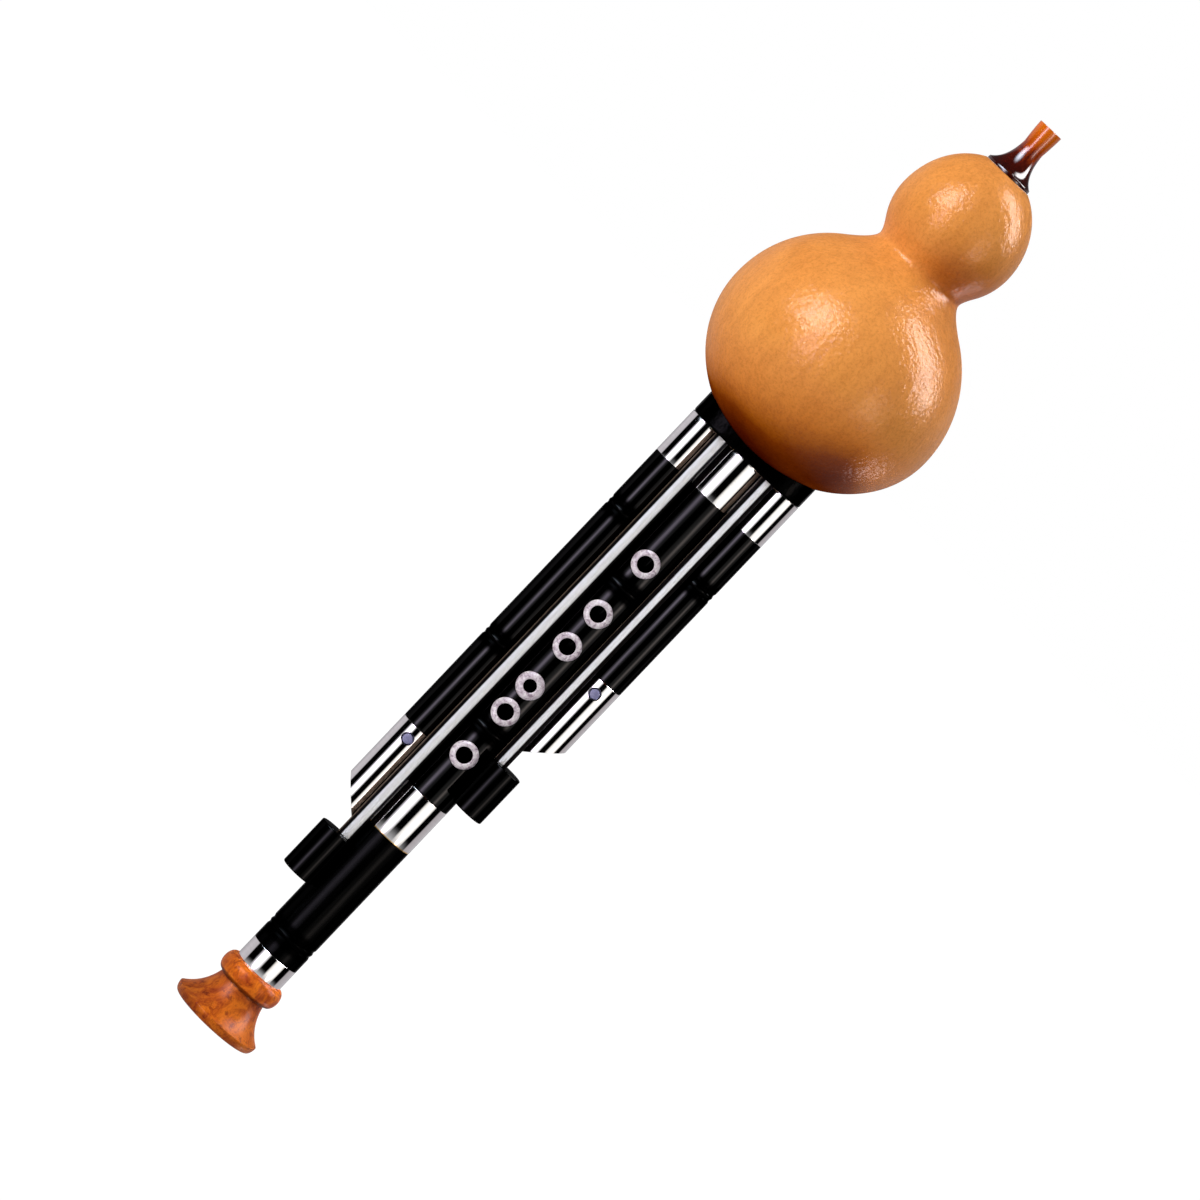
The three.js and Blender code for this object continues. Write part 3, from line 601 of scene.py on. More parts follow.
    def unstained(self, graph: Graph, height: bpy.types.NodeSocket, across: bpy.types.NodeSocket,
                  rough: bpy.types.NodeSocket) -> bpy.types.NodeSocket:
        """How free of the discolouring and its painted shade a point is.

        The share is (height + noise - climb - low) / (high - low). The climb, which is painted shade, grows with the
        distance to either side, falls off by the parabola 1 - (off / reach)^2 about the height where it is greatest,
        and stops at the far right.

        Args:
            graph: The material's graph.
            height: Height on the object.
            across: Place from left to right.
            rough: Noise that makes the edge ragged.

        Returns:
            Socket of 0 where the discolouring and painted shade are whole and 1 or more where there is none.
        """
        off = graph.math("DIVIDE", graph.math("SUBTRACT", height, self.lean_at), self.lean_reach)
        near = graph.math("MAXIMUM", graph.math("SUBTRACT", 1.0, graph.math("POWER", off, 2.0)), 0.0)
        sides = graph.math("MAXIMUM", graph.math("MULTIPLY", across, self.lean_right),
                           graph.math("MULTIPLY", across, self.lean_left))
        sides = graph.math("MULTIPLY", sides, graph.span(across, *self.lean_stop, 0.1, 1.0))
        ragged = graph.math("ADD", height, graph.math("MULTIPLY", rough, self.ragged))
        edge = graph.math("SUBTRACT", ragged, graph.math("MULTIPLY", sides, near))
        return graph.math("DIVIDE", graph.math("SUBTRACT", edge, self.stain_low), self.stain_high - self.stain_low)


@dataclass(frozen=True)
class AmberResin(Finish):
    """Polished amber resin: clear orange at the tip, dark red at the base, with drawn-out swirls.

    Attributes:
        dark_below: Height where the dark red of the base ends, in metres, swirls and all.
        clear_above: Height where the clear orange of the tip begins, in metres.
        reach: How far the swirls carry one colour into the next, in metres.
    """

    slot: str = "amber_resin"
    name: str = "amber_polish"
    dark_below: float = 0.415
    clear_above: float = 0.435
    reach: float = 0.012

    def shade(self, graph: Graph) -> dict[str, object]:
        """Colour by height, shifted by long swirls.

        Args:
            graph: The material's graph.

        Returns:
            Values and sockets of the shader's inputs, by name.
        """
        where = graph.place((1.0, 1.0, 0.35))
        swirl = graph.noise(where, 260, 3, 0.6, 1.2)
        shifted = graph.math("ADD", graph.height(), graph.math("MULTIPLY", swirl, self.reach))
        colour = graph.ramp(graph.span(shifted, self.dark_below, self.clear_above), [
            (0.0, (0.03, 0.0015, 0.0005)), (0.4, (0.1, 0.006, 0.001)), (0.62, (0.4, 0.05, 0.002)),
            (1.0, (0.7, 0.15, 0.004))])
        return {
            "Base Color": colour,
            "Roughness": 0.11,
            "Specular IOR Level": 0.4,
            "Coat Weight": 0.2,
            "Coat Roughness": 0.08,
            "Subsurface Weight": 0.15,
            "Subsurface Radius": (0.004, 0.001, 0.0003),
            "Subsurface Scale": 1.0,
        }


@dataclass(frozen=True)
class BlackResin(Finish):
    """Polished black resin with a faint grain drawn along the pipes, all of its light thrown off the surface.

    Attributes:
        roughness: How soft its shine is.
        shine: Share of the light that it throws back straight on.
        edge: How much of the usual growth of that share towards the edges there is.
        lumps: Depth of lumps in a lacquer laid on by hand, in metres.
        bands: Heights of turned joints, in metres, round which the shine is taken away as painted shade but for a
            bead's crest.
        dull: Distances from a joint within which its shine is wholly taken away as painted shade and beyond which it
            isn't, in metres.
        crest: Half the height of the bead's crest, in metres.
    """

    slot: str = "black_resin"
    name: str = "black_polish"
    roughness: float = 0.09
    shine: float = 0.0098
    edge: float = 0.45
    lumps: float = 0.0
    bands: tuple[float, ...] = ()
    dull: Pair = (0.0032, 0.0055)
    crest: float = 0.0007

    def shade(self, graph: Graph) -> dict[str, object]:
        """Grain in the shine and as very shallow relief, with painted shade round the joints.

        Args:
            graph: The material's graph.

        Returns:
            Values and sockets of the shader's inputs, by name.
        """
        grain = graph.noise(graph.place((1.0, 1.0, 0.04)), 900, 4, 0.65)
        dapple = graph.noise(graph.place(), 240, 3, 0.6)
        low, high = ((self.shine * share,) * 3 for share in (0.7, 1.4))
        colour = graph.ramp(grain, [(0.35, low), (0.75, high)])
        # Painted shade: near each joint the shine is taken away, as if the joint's curve turned the highlight aside,
        # but for a thin line at the bead's crest.
        for band in self.bands:
            off = graph.apart(graph.height(), band)
            bright = graph.math("MAXIMUM", graph.span(off, *self.dull),
                                graph.span(off, self.crest, self.crest * 0.5, 0.0, 0.3))
            colour = graph.mix(bright, (0.0002, 0.0002, 0.0002), colour)
        return {
            "Base Color": colour,
            "Metallic": 1.0,
            "Specular Tint": (self.edge, self.edge, self.edge, 1.0),
            "Roughness": graph.span(grain, 0.3, 0.75, self.roughness * 0.75, self.roughness * 1.5),
            "Normal": graph.bump(grain, 0.00001, 0.25, graph.bump(dapple, 0.00002 + self.lumps, 0.25)),
        }

    def banded(self, name: str, bands: list[float]) -> "BlackResin":
        """The same finish with painted shade round joints at some heights in millimetres."""
        return replace(self, name=name, bands=tuple(band * MM for band in bands))


@dataclass(frozen=True)
class PolishedMetal(Finish):
    """Plated or polished metal with hair-fine scratches round it.

    Attributes:
        tint: Colour of its reflection.
        roughness: How soft its shine is.
        worn: Height of a lower edge with a painted golden glint, a brass-coloured line, in metres, if there is one.
        band: Middle and half width of a band up the front, lit brighter to the right as painted light, in metres
            across, if the rest is painted dark.
        metal: Share of the surface that shines as metal; the rest is as matt as frosting.
        flank: Distances from the band's middle between which the painted shade thins to a painted brown reflection,
            in metres.
        fade: Half the width of the band's soft edge, in metres.
    """

    slot: str = "nickel"
    name: str = "nickel_plate"
    tint: Colour = (0.95, 0.93, 0.92)
    roughness: float = 0.05
    worn: float = 0.0
    band: Pair = (0.0, 0.0)
    metal: float = 1.0
    flank: Pair = (0.00264, 0.0027)
    fade: float = 0.00025

    def shade(self, graph: Graph) -> dict[str, object]:
        """Scratches that run round the pipes, and a slow waviness in the plate.

        Args:
            graph: The material's graph.

        Returns:
            Values and sockets of the shader's inputs, by name.
        """
        hair = graph.noise(graph.place((0.1, 0.1, 1.0)), 900, 3, 0.7)
        dull = tuple(channel * 0.93 for channel in self.tint)
        plate = graph.ramp(hair, [(0.3, dull), (0.6, self.tint)])
        # Painted golden glint: a ragged brass-coloured line along the lower edge.
        if self.worn:
            ragged = graph.math("MULTIPLY", graph.noise(graph.place(), 400, 2), 0.0006)
            glint_line = graph.span(graph.math("ADD", graph.height(), ragged), self.worn + 0.0009, self.worn + 0.0004)
            plate = graph.mix(glint_line, plate, (0.85, 0.52, 0.16))
        # Painted light and shade: the band up the front is lit brighter to the right, and beyond it the rod is
        # painted dark as the shade and reflection of the black pipes beside it, thinning to a painted brown
        # reflection.
        if self.band[1]:
            middle, half = self.band
            off = graph.apart(graph.across(), middle)
            side = graph.mix(graph.span(off, *self.flank), (0.004, 0.003, 0.003), (0.1, 0.07, 0.05))
            lit = graph.tinted(plate, graph.span(graph.across(), middle - half, middle + half, 0.88, 1.3))
            plate = graph.mix(graph.span(off, half - self.fade, half + self.fade), lit, side)
        return {
            "Base Color": plate,
            "Metallic": self.metal,
            "Specular IOR Level": 0.0,
            "Roughness": graph.span(hair, 0.25, 0.75, self.roughness * 0.85, self.roughness * 1.25),
            "Normal": graph.bump(graph.noise(graph.place(), 110, 2, 0.5), 0.00002, 0.2),
        }


def satin_rod(side: str, band: Pair) -> PolishedMetal:
    """The satin finish of one rod, painted dark as shade and reflection but for a band up its front."""
    return PolishedMetal("rod_metal", f"{side}_rod_satin", (0.72, 0.715, 0.71), 0.6, band=band, metal=0.35)


@dataclass(frozen=True)
class PearlRing(Finish):
    """Pearl lilac-grey resin with cloudy flakes."""

    slot: str = "pearl"
    name: str = "pearl_ring"

    def shade(self, graph: Graph) -> dict[str, object]:
        """Cloudy flakes of lilac, grey and near white.

        Args:
            graph: The material's graph.

        Returns:
            Values and sockets of the shader's inputs, by name.
        """
        where = graph.place()
        cloud = graph.noise(where, 520, 4, 0.65, 0.8)
        flakes = [(0.34, (0.3, 0.22, 0.28)), (0.48, (0.66, 0.57, 0.64)), (0.64, (0.92, 0.87, 0.9))]
        return {
            "Base Color": graph.ramp(cloud, flakes),
            "Roughness": 0.35,
            "Specular IOR Level": 0.25,
            "Coat Weight": 0.15,
            "Coat Roughness": 0.15,
            "Normal": graph.bump(graph.noise(where, 1500, 3), 0.00005, 0.4),
        }


@dataclass(frozen=True)
class BurlWood(Finish):
    """Varnished orange burl with dark eyes and flecks, with painted shade on the left and in the groove and a painted
    highlight on the ring.

    Attributes:
        ring: Height of the ring's middle, where a highlight is painted, in metres.
        groove: Height of the groove below the ring, where shade is painted, in metres.
    """

    slot: str = "burl_wood"
    name: str = "varnished_burl"
    ring: float = 0.0214
    groove: float = 0.0168

    def shade(self, graph: Graph) -> dict[str, object]:
        """Swirled bands, round dark eyes and short flecks under a gloss coat, with painted shade and a painted
        highlight.

        Args:
            graph: The material's graph.

        Returns:
            Values and sockets of the shader's inputs, by name.
        """
        where = graph.place((1.0, 1.0, 0.8))
        figure = graph.noise(where, 110, 5, 0.62, 2.2)
        orange = graph.ramp(figure, [(0.3, (0.27, 0.03, 0.002)), (0.44, (0.5, 0.092, 0.004)),
                                     (0.6, (0.7, 0.165, 0.007))])
        eyes = graph.noise(where, 230, 4, 0.7, 0.9)
        dark = graph.ramp(eyes, [(0.34, (0.36, 0.2, 0.14)), (0.45, WHITE)])
        fleck = graph.ramp(graph.noise(graph.place((1.0, 1.0, 0.3)), 1500, 3, 0.6),
                           [(0.36, (0.62, 0.45, 0.35)), (0.5, WHITE)])
        blotched = graph.mix(0.85, orange, graph.tinted(orange, dark))
        flecked = graph.mix(0.6, blotched, graph.tinted(blotched, fleck))
        # Painted light: darker to the left as painted shade, a painted highlight on the ring, and painted shade in
        # the groove.
        left = graph.span(graph.across(), -0.012, -0.004, 0.7, 1.0)
        ring_highlight = graph.span(graph.apart(graph.height(), self.ring), 0.0052, 0.0035, 1.0, 1.3)
        groove_shade = graph.span(graph.apart(graph.height(), self.groove), 0.0004, 0.0012, 0.35, 1.0)
        worn = graph.math("MULTIPLY", graph.math("MULTIPLY", left, ring_highlight), groove_shade)
        return {
            "Base Color": graph.tinted(flecked, worn),
            "Roughness": 0.45,
            "Specular IOR Level": 0.12,
            "Coat Weight": 0.1,
            "Coat Roughness": 0.2,
            "Normal": graph.bump(eyes, 0.00008, 0.3),
        }


@dataclass(frozen=True)
class LilacResin(Finish):
    """Lilac-blue resin, softly clouded."""

    slot: str = "lilac_resin"
    name: str = "lilac_button"

    def shade(self, graph: Graph) -> dict[str, object]:
        """Soft clouds.

        Args:
            graph: The material's graph.

        Returns:
            Values and sockets of the shader's inputs, by name.
        """
        cloud = graph.noise(graph.place(), 700, 3, 0.6)
        return {
            "Base Color": graph.ramp(cloud, [(0.3, (0.18, 0.175, 0.33)), (0.7, (0.31, 0.3, 0.49))]),
            "Roughness": 0.35,
        }


@dataclass(frozen=True)
class CorkSheet(Finish):
    """Cork with dark pits."""

    slot: str = "cork"
    name: str = "cork_sheet"

    def shade(self, graph: Graph) -> dict[str, object]:
        """Grains and pits.

        Args:
            graph: The material's graph.

        Returns:
            Values and sockets of the shader's inputs, by name.
        """
        grain = graph.noise(graph.place(), 900, 5, 0.7)
        colour = graph.ramp(grain, [(0.32, (0.14, 0.06, 0.02)), (0.42, (0.42, 0.23, 0.09)), (0.7, (0.6, 0.37, 0.17))])
        return {"Base Color": colour, "Roughness": 0.85, "Normal": graph.bump(grain, 0.00025, 0.8)}


@dataclass(frozen=True)
class WoolFelt(Finish):
    """Dark red felt."""

    slot: str = "felt"
    name: str = "wool_felt"

    def shade(self, graph: Graph) -> dict[str, object]:
        """Tangled fibres.

        Args:
            graph: The material's graph.

        Returns:
            Values and sockets of the shader's inputs, by name.
        """
        fibre = graph.noise(graph.place(), 3500, 4, 0.8, 1.5)
        return {
            "Base Color": graph.ramp(fibre, [(0.3, (0.09, 0.015, 0.02)), (0.7, (0.25, 0.05, 0.06))]),
            "Roughness": 0.95,
            "Sheen Weight": 0.5,
            "Normal": graph.bump(fibre, 0.0002, 0.8),
        }


@dataclass(frozen=True)
class FinishSet:
    """Every finish on the instrument."""

    gourd: Finish = GourdVarnish()
    amber: Finish = AmberResin()
    black: BlackResin = BlackResin()
    tail_black: BlackResin = BlackResin(name="tail_black_polish", roughness=0.24, shine=0.0026)
    knob_black: Finish = BlackResin(name="knob_black_polish", roughness=0.08, shine=0.0036)
    block_black: Finish = BlackResin(name="block_black_polish", roughness=0.12, shine=0.0012, lumps=0.0012)
    nickel: Finish = PolishedMetal()
    # The lower ferrule, with a painted golden glint along its lower edge.
    worn_nickel: Finish = PolishedMetal(name="painted_glint_nickel_plate", worn=0.091)
    # The rods are painted dark as shade and reflection but for a band up the front.
    left_rod: Finish = satin_rod("left", (-0.0108, 0.0015))
    right_rod: Finish = satin_rod("right", (0.01125, 0.00105))
    brass: Finish = PolishedMetal("brass", "bright_brass", (0.75, 0.56, 0.26), 0.2)
    pearl: Finish = PearlRing()
    burl: Finish = BurlWood()
    lilac: Finish = LilacResin()
    cork: Finish = CorkSheet()
    felt: Finish = WoolFelt()


# Sub-assemblies


def install(piece: bpy.types.Object, body: str, finish: Finish, *nodes: str) -> bpy.types.Object:
    """Dresses a piece, sets it riding on its body and lets it stand for its solids.

    Args:
        piece: The finished piece.
        body: Body that it moves with.
        finish: Its finish.
        *nodes: Solids that it stands for.

    Returns:
        The same piece.
    """
    piece.data.materials.clear()
    piece.data.materials.append(finish.material())
    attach(piece, body)
    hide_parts(*nodes)
    LOG.info("%s rides on %s: %d faces", piece.name, body, len(piece.data.polygons))
    return piece


def dress(node: str, finish: Finish) -> None:
    """Gives a solid that is right as it is its finish.

    Args:
        node: The solid.
        finish: Its finish.
    """
    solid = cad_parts[node]
    solid.data.materials.clear()
    solid.data.materials.append(finish.material())
    LOG.info("%s keeps its solid", node)


@dataclass(frozen=True)
class Layout:
    """Sizes that several sub-assemblies share.

    Attributes:
        main_radius: Outer radius of the melody pipe.
        drone_radius: Outer radius of a drone.
        drone_x: How far a drone's axis is from the melody pipe's.
        rod_radius: Radius of a rod's upper part.
        knob_radius: Radius of a knob.
        slide_gap: Gap between pieces that move past each other.
        main_top: Height of the shoulders of the melody pipe and the drones.
        block_bottom: Height of the base block's underside.
        plug_top: Height of the base block's top, inside the gourd.
    """

    main_radius: float = 9.8
    drone_radius: float = 6.75
    drone_x: float = 18.4
    rod_radius: float = 3.15
    knob_radius: float = 6.65
    slide_gap: float = 0.3
    main_top: float = 273.7
    block_bottom: float = 274.0
    plug_top: float = 293.5

    def rod_place(self) -> Pair:
        """Plan place of the right rod, nested between the melody pipe and the drone.

        Returns:
            Place to the right of the melody pipe's axis and behind it, less than zero as it stands in front.
        """
        to_main = self.main_radius + self.slide_gap + self.rod_radius
        to_drone = self.drone_radius + self.slide_gap + self.rod_radius
        x = (to_main**2 - to_drone**2 + self.drone_x**2) / (2 * self.drone_x)
        return x, -math.sqrt(to_main**2 - x**2)

    def knob_place(self) -> Pair:
        """Plan place of the right knob, which just clears the melody pipe.

        Returns:
            Place to the right of the melody pipe's axis and behind it, less than zero as it stands in front.
        """
        x, y = self.rod_place()
        reach = (self.main_radius + self.slide_gap + self.knob_radius) / math.hypot(x, y)
        return x * reach, y * reach


@dataclass
class Sleeve:
    """A plain sleeve with eased edges, such as a ferrule or a cork.

    Attributes:
        name: Its piece's and its solid's name.
        outer: Outer radius.
        inner: Inner radius.
        bottom: Height of its lower end.
        top: Height of its upper end.
        x: Its axis, left or right of the melody pipe.
        ease: How far its edges are rounded.
    """

    name: str
    outer: float
    inner: float
    bottom: float
    top: float
    x: float = 0.0
    ease: float = 0.1

    def build(self, body: str, finish: Finish) -> None:
        """Makes and dresses the sleeve.

        Args:
            body: Body that it moves with.
            finish: Its finish.
        """
        loop = straight(self.inner, self.outer, self.bottom, self.top)
        surface = turned(eased(loop, self.ease), 128).moved(self.x)
        install(mesh_object(self.name + "_piece", [surface]), body, finish, self.name)


@dataclass
class GourdShell:
    """The gourd: two bulbs and a bent neck, open below for the plug and above for the mouthpiece.

    Attributes:
        centre: Height of the lower bulb's widest ring; radius is that ring's.
        depth: Half height of the ellipse below the ring; crown is that of the one above it.
        crown_end: Where the crown gives way to the bend into the neck, in degrees up the ellipse.
        neck: Radius and height of the narrowest ring.
        upper_centre: Height of the upper bulb's widest ring; its sizes are named like the lower bulb's.
        waist_end: Where the bend out of the neck meets the upper bulb, in degrees down the ellipse.
        top: Height of the flat under the mouthpiece.
        wall: Thickness of the shell.
        lean: How far the upper bulb is grown to the left, between the heights lean_from and lean_to.
        plug_hole: Half width and half depth of the hole for the plug, an oblong of power plug_power.
        top_hole: Radius of the hole for the mouthpiece.
        join_radius: Where rows that follow the plug's hole give way to round ones.
        ripple: How far the grown surface strays from round.
        ripple_foot: Heights between which the straying grows from none.
        ripple_top: Heights between which it fades, from none at the first.
        columns: Facets round the gourd.
    """

    centre: float = 318.0
    radius: float = 47.1
    depth: float = 41.5
    crown: float = 45.5
    crown_end: float = math.degrees(0.93)
    neck: Pair = (18.9, 364.0)
    upper_centre: float = 382.2
    upper_radius: float = 25.0
    upper_depth: float = 24.5
    upper_crown: float = 28.6
    waist_end: float = math.degrees(0.55)
    top: float = 408.5
    wall: float = 3.5
    lean: float = 2.0
    lean_from: float = 296.0
    lean_to: float = 380.0
    plug_hole: Pair = (24.2, 12.02)
    plug_power: float = 3.0
    top_hole: float = 5.4
    join_radius: float = 36.0
    ripple: float = 0.35
    ripple_foot: Pair = (296.0, 318.0)
    ripple_top: Pair = (405.0, 385.0)
    columns: int = 160

    def outline(self) -> Array:
        """Outer profile above the join radius: bowl, crown, bends into and out of the neck, and upper bulb.

        Returns:
            Array of radius and height, from the join radius up to the mouthpiece's hole.
        """
        start = -math.degrees(math.acos(self.join_radius / self.radius))
        bowl = arc((0, self.centre), (self.radius, self.depth), start, 0, 30)
        crown = arc((0, self.centre), (self.radius, self.crown), 0, self.crown_end, 30)
        waist = arc((0, self.upper_centre), (self.upper_radius, self.upper_depth), -self.waist_end, 0, 12)
        end = math.degrees(math.asin((self.top - self.upper_centre) / self.upper_crown))
        cap = arc((0, self.upper_centre), (self.upper_radius, self.upper_crown), 0, end, 30)
        into = bend(crown[-1], self.tangent_meet(self.centre, self.crown, self.radius, self.crown_end),
                    self.neck, 16)
        out = bend(self.neck, self.tangent_meet(self.upper_centre, self.upper_depth, self.upper_radius,
                                                -self.waist_end), waist[0], 16)
        return joined(bowl, crown[1:], into[1:], out[1:], waist[1:], cap[1:])

    def tangent_meet(self, centre: float, height: float, width: float, angle: float) -> Pair:
        """Where an ellipse's tangent at an angle meets the neck's upright.

        Args:
            centre: Height of the ellipse's centre.
            height: Half its height.
            width: Half its width.
            angle: Angle on the ellipse, in degrees.

        Returns:
            Radius and height of the meeting point.
        """
        turn = math.radians(angle)
        across = width * math.cos(turn) - self.neck[0]
        return self.neck[0], centre + height * math.sin(turn) + across * height / width / math.tan(turn)

    def bowl_rows(self, radius: float, depth: float, join: float, rows: int = 9) -> tuple[Array, Array]:
        """Radii and heights of rows from the plug's hole out to a join radius.

        A row's radius goes from the hole's edge to the join in even shares, and its height is the ellipse's:
        z = centre - depth sqrt(1 - (r / radius)^2).

        Args:
            radius: Half the ellipse's width.
            depth: Half its height.
            join: Radius of the last row.
            rows: Number of rows.

        Returns:
            Radii and heights, rows by columns.
        """
        plan = oblong(*self.plug_hole, self.plug_power, self.columns)
        edge = np.hypot(*plan.T)
        share = np.linspace(0, 1, rows)[:, None]
        out = edge + (join - edge) * share
        return out, self.centre - depth * np.sqrt(1 - (out / radius) ** 2)

    def build(self, finishes: FinishSet) -> None:
        """Makes the shell: outer rows up to the mouthpiece's hole, then the lining back down to the plug's.

        The rows at height z go left by lean t^2 (3 - 2t), t being the share of the way to the top of the lean,
        and stray from round by ripple (0.6 sin(2a + 0.4 + z/31) + 0.4 sin(3a - z/23)) at the angle a.

        Args:
            finishes: The instrument's finishes.
        """
        plan = oblong(*self.plug_hole, self.plug_power, self.columns)
        angle = np.arctan2(plan[:, 1], plan[:, 0])
        outer = self.outline()
        slope = np.gradient(outer, axis=0)
        normal = np.column_stack([slope[:, 1], -slope[:, 0]]) / np.linalg.norm(slope, axis=1)[:, None]
        lining = (outer - normal * self.wall)[::-4]
        lip = np.array([(self.top_hole, self.top), (self.top_hole, lining[0, 1])])
        turned_rows = joined(outer[1:], lip, lining)
        low_out, low_z = self.bowl_rows(self.radius, self.depth, self.join_radius)
        high_out, high_z = self.bowl_rows(self.radius - self.wall, self.depth - self.wall, lining[-1, 0] - 1.0)
        spread = np.ones(self.columns)
        out = np.concatenate([low_out, turned_rows[:, :1] * spread, high_out[::-1]])
        z = np.concatenate([low_z, turned_rows[:, 1:] * spread, high_z[::-1]])
        lift = share_between(z, self.lean_from, self.lean_to)
        shift = self.lean * lift**2 * (3 - 2 * lift)
        far = share_between(z, *self.ripple_foot) * share_between(z, *self.ripple_top)
        wave = np.sin(2 * angle + 0.4 + z / 31) * 0.6 + np.sin(3 * angle - z / 23) * 0.4
        out = out + self.ripple * far * wave
        points = np.stack([out * np.cos(angle) - shift, out * np.sin(angle), z], axis=-1)
        piece = mesh_object("gourd_shell", [Surface(points)])
        install(piece, "wind_chest", finishes.gourd, "gourd")


@dataclass
class Mouthpiece:
    """The mouthpiece: spigot, lip, hollow flare to a waist, and a tip with a flared bore.

    Attributes:
        x: Its axis, left of the melody pipe's.
        bottom: Height of the spigot's end.
        seat: Height of the underside that rests on the gourd.
        lip_top: Height of the rounded edge's top, from the base radius in to the shoulder's.
        waist: Radius and height of the narrowest ring, which the flare reaches leaning towards pull.
        bend_height: Height that the tip's swelling leans towards.
        spigot: Radius of the spigot.
        bore_mouth: Radius of the bore at the tip.
    """

    x: float = -2.0
    bottom: float = 401.8
    seat: float = 408.55
    lip_top: float = 409.9
    tip: float = 430.6
    base_radius: float = 9.5
    shoulder: float = 9.1
    waist: Pair = (4.15, 421.6)
    pull: Pair = (4.7, 412.9)
    tip_radius: float = 4.8
    bend_height: float = 427.8
    spigot: float = 4.3
    bore: float = 1.9
    bore_mouth: float = 2.7

    def build(self, finishes: FinishSet) -> None:
        """Makes and dresses the mouthpiece, and dresses the cork round its spigot.

        Args:
            finishes: The instrument's finishes.
        """
        lip = bend((self.base_radius, self.seat), (self.base_radius, self.lip_top), (self.shoulder, self.lip_top), 8)
        flare = bend((self.shoulder, self.lip_top), self.pull, self.waist, 24)
        tip = bend(self.waist, (self.tip_radius, self.bend_height), (self.tip_radius, self.tip), 16)
        bore = bend((self.bore_mouth, self.tip), (self.bore, self.bend_height), (self.bore, self.waist[1]), 10)
        profile = joined([(self.bore, self.bottom), (self.spigot, self.bottom), (self.spigot, self.seat)], lip,
                         flare[1:], tip[1:], bore)
        surface = turned(eased(profile, 0.6), 128).moved(self.x)
        install(mesh_object("mouthpiece_horn", [surface]), "wind_chest", finishes.amber, "mouthpiece")
        dress("mouthpiece_cork", finishes.cork)


@dataclass
class BaseBlock:
    """The base block: a flange scribed to the gourd, and the plug inside it with sockets and bores.

    Attributes:
        layout: The shared sizes.
        flange: Half width and half depth of the flange, an oblong of some power.
        plug: The same of the plug.
        edge: Rounding of the flange's lower edge.
        chamfer: Chamfer of the plug's upper edge.
        gourd_centre: Height of the middle of the gourd's ellipse, with its gap.
        gourd_radii: Half width and half height of that ellipse.
        main_socket: Radius, height of the end, and bore radius of the melody pipe's socket.
        drone_socket: The same of a drone's.
        rod_socket: The same of a rod's bush.
    """

    layout: Layout
    flange: Pair = (25.15, 14.0)
    plug: Pair = (23.9, 11.72)
    power: float = 3.0
    edge: float = 0.9
    chamfer: float = 0.4
    gourd_centre: float = 318.0
    gourd_radii: Pair = (47.4, 41.8)
    main_socket: tuple[float, float, float] = (7.0, 289.6, 4.95)
    drone_socket: tuple[float, float, float] = (4.4, 286.6, 3.75)
    rod_socket: tuple[float, float, float] = (4.45, 284.2, 3.45)

    def rows(self) -> Array:
        """Rows of the block, from the middle of its underside round to the middle of its top.

        Every row is an oblong |x/w|^p + |y/d|^p = 1. The flange's top follows the gourd's ellipse, z = centre
        - b sqrt(1 - (r/a)^2) at plan radius r.

        Returns:
            Array of rows, points and three coordinates.
        """
        low, high = self.layout.block_bottom, self.layout.plug_top
        inset = arc((0, 0), (self.edge, self.edge), -90, 0, 5)
        steps = [(np.zeros(2), low)]
        steps += [(np.array(self.flange) - self.edge + x, low + self.edge + z) for x, z in inset]
        plans = [oblong(*half, self.power) for half, _ in steps]
        heights = [np.full(len(plans[0]), height) for _, height in steps]
        for share in np.linspace(0, 1, 5):
            half = np.array(self.flange) + (np.array(self.plug) - np.array(self.flange)) * share
            plans.append(oblong(*half, self.power))
            heights.append(self.scribed(plans[-1]))
        for half, height in ((self.plug, high - self.chamfer), (np.array(self.plug) - self.chamfer, high),
                             (np.zeros(2), high)):
            plans.append(oblong(*half, self.power))
            heights.append(np.full(len(plans[0]), height))
        return np.concatenate([np.array(plans), np.array(heights)[..., None]], axis=-1)

    def scribed(self, plan: Array) -> Array:
        """Height of the gourd's underside, with its gap, over the points of a plan."""
        a, b = self.gourd_radii
        return self.gourd_centre - b * np.sqrt(1 - (np.hypot(*plan.T) / a) ** 2)

    def stepped(self, sizes: tuple[float, float, float], x: float, y: float) -> Surface:
        """A socket with a narrower bore above it, to cut from the block.

        Args:
            sizes: Socket radius, height of the socket's end, and bore radius.
            x: Plan place, left or right.
            y: Plan place, front or back.

        Returns:
            The closed cutter.
        """
        wide, step, narrow = sizes
        low, high = self.layout.block_bottom - OVERRUN, self.layout.plug_top + OVERRUN
        profile = np.array([(0, low), (wide, low), (wide, step), (narrow, step), (narrow, high), (0, high)])
        return turned(profile, 64, closed=False).moved(x, y)

    def build(self, finishes: FinishSet) -> None:
        """Makes the block, cuts its sockets, and dresses it and the small pieces in it.

        Args:
            finishes: The instrument's finishes.
        """
        rod_x, rod_y = self.layout.rod_place()
        cutters = [self.stepped(self.main_socket, 0, 0)]
        for side in Side:
            cutters.append(self.stepped(self.drone_socket, side.value * self.layout.drone_x, 0))
            cutters.append(self.stepped(self.rod_socket, side.value * rod_x, rod_y))
        block = carved(mesh_object("base_block_piece", [Surface(self.rows(), False)]), cutters)
        install(block, "wind_chest", finishes.block_black, "base_block")
        for name in ("main", "left", "right"):
            dress(f"{name}_reed_tube", finishes.brass)
            dress(f"{name}_reed", finishes.brass)
            dress(f"{name}_reed_plug", finishes.black)
        for side in ("left", "right"):
            dress(f"{side}_rod_bush", finishes.brass)
            dress(f"{side}_rod_seal", finishes.felt)


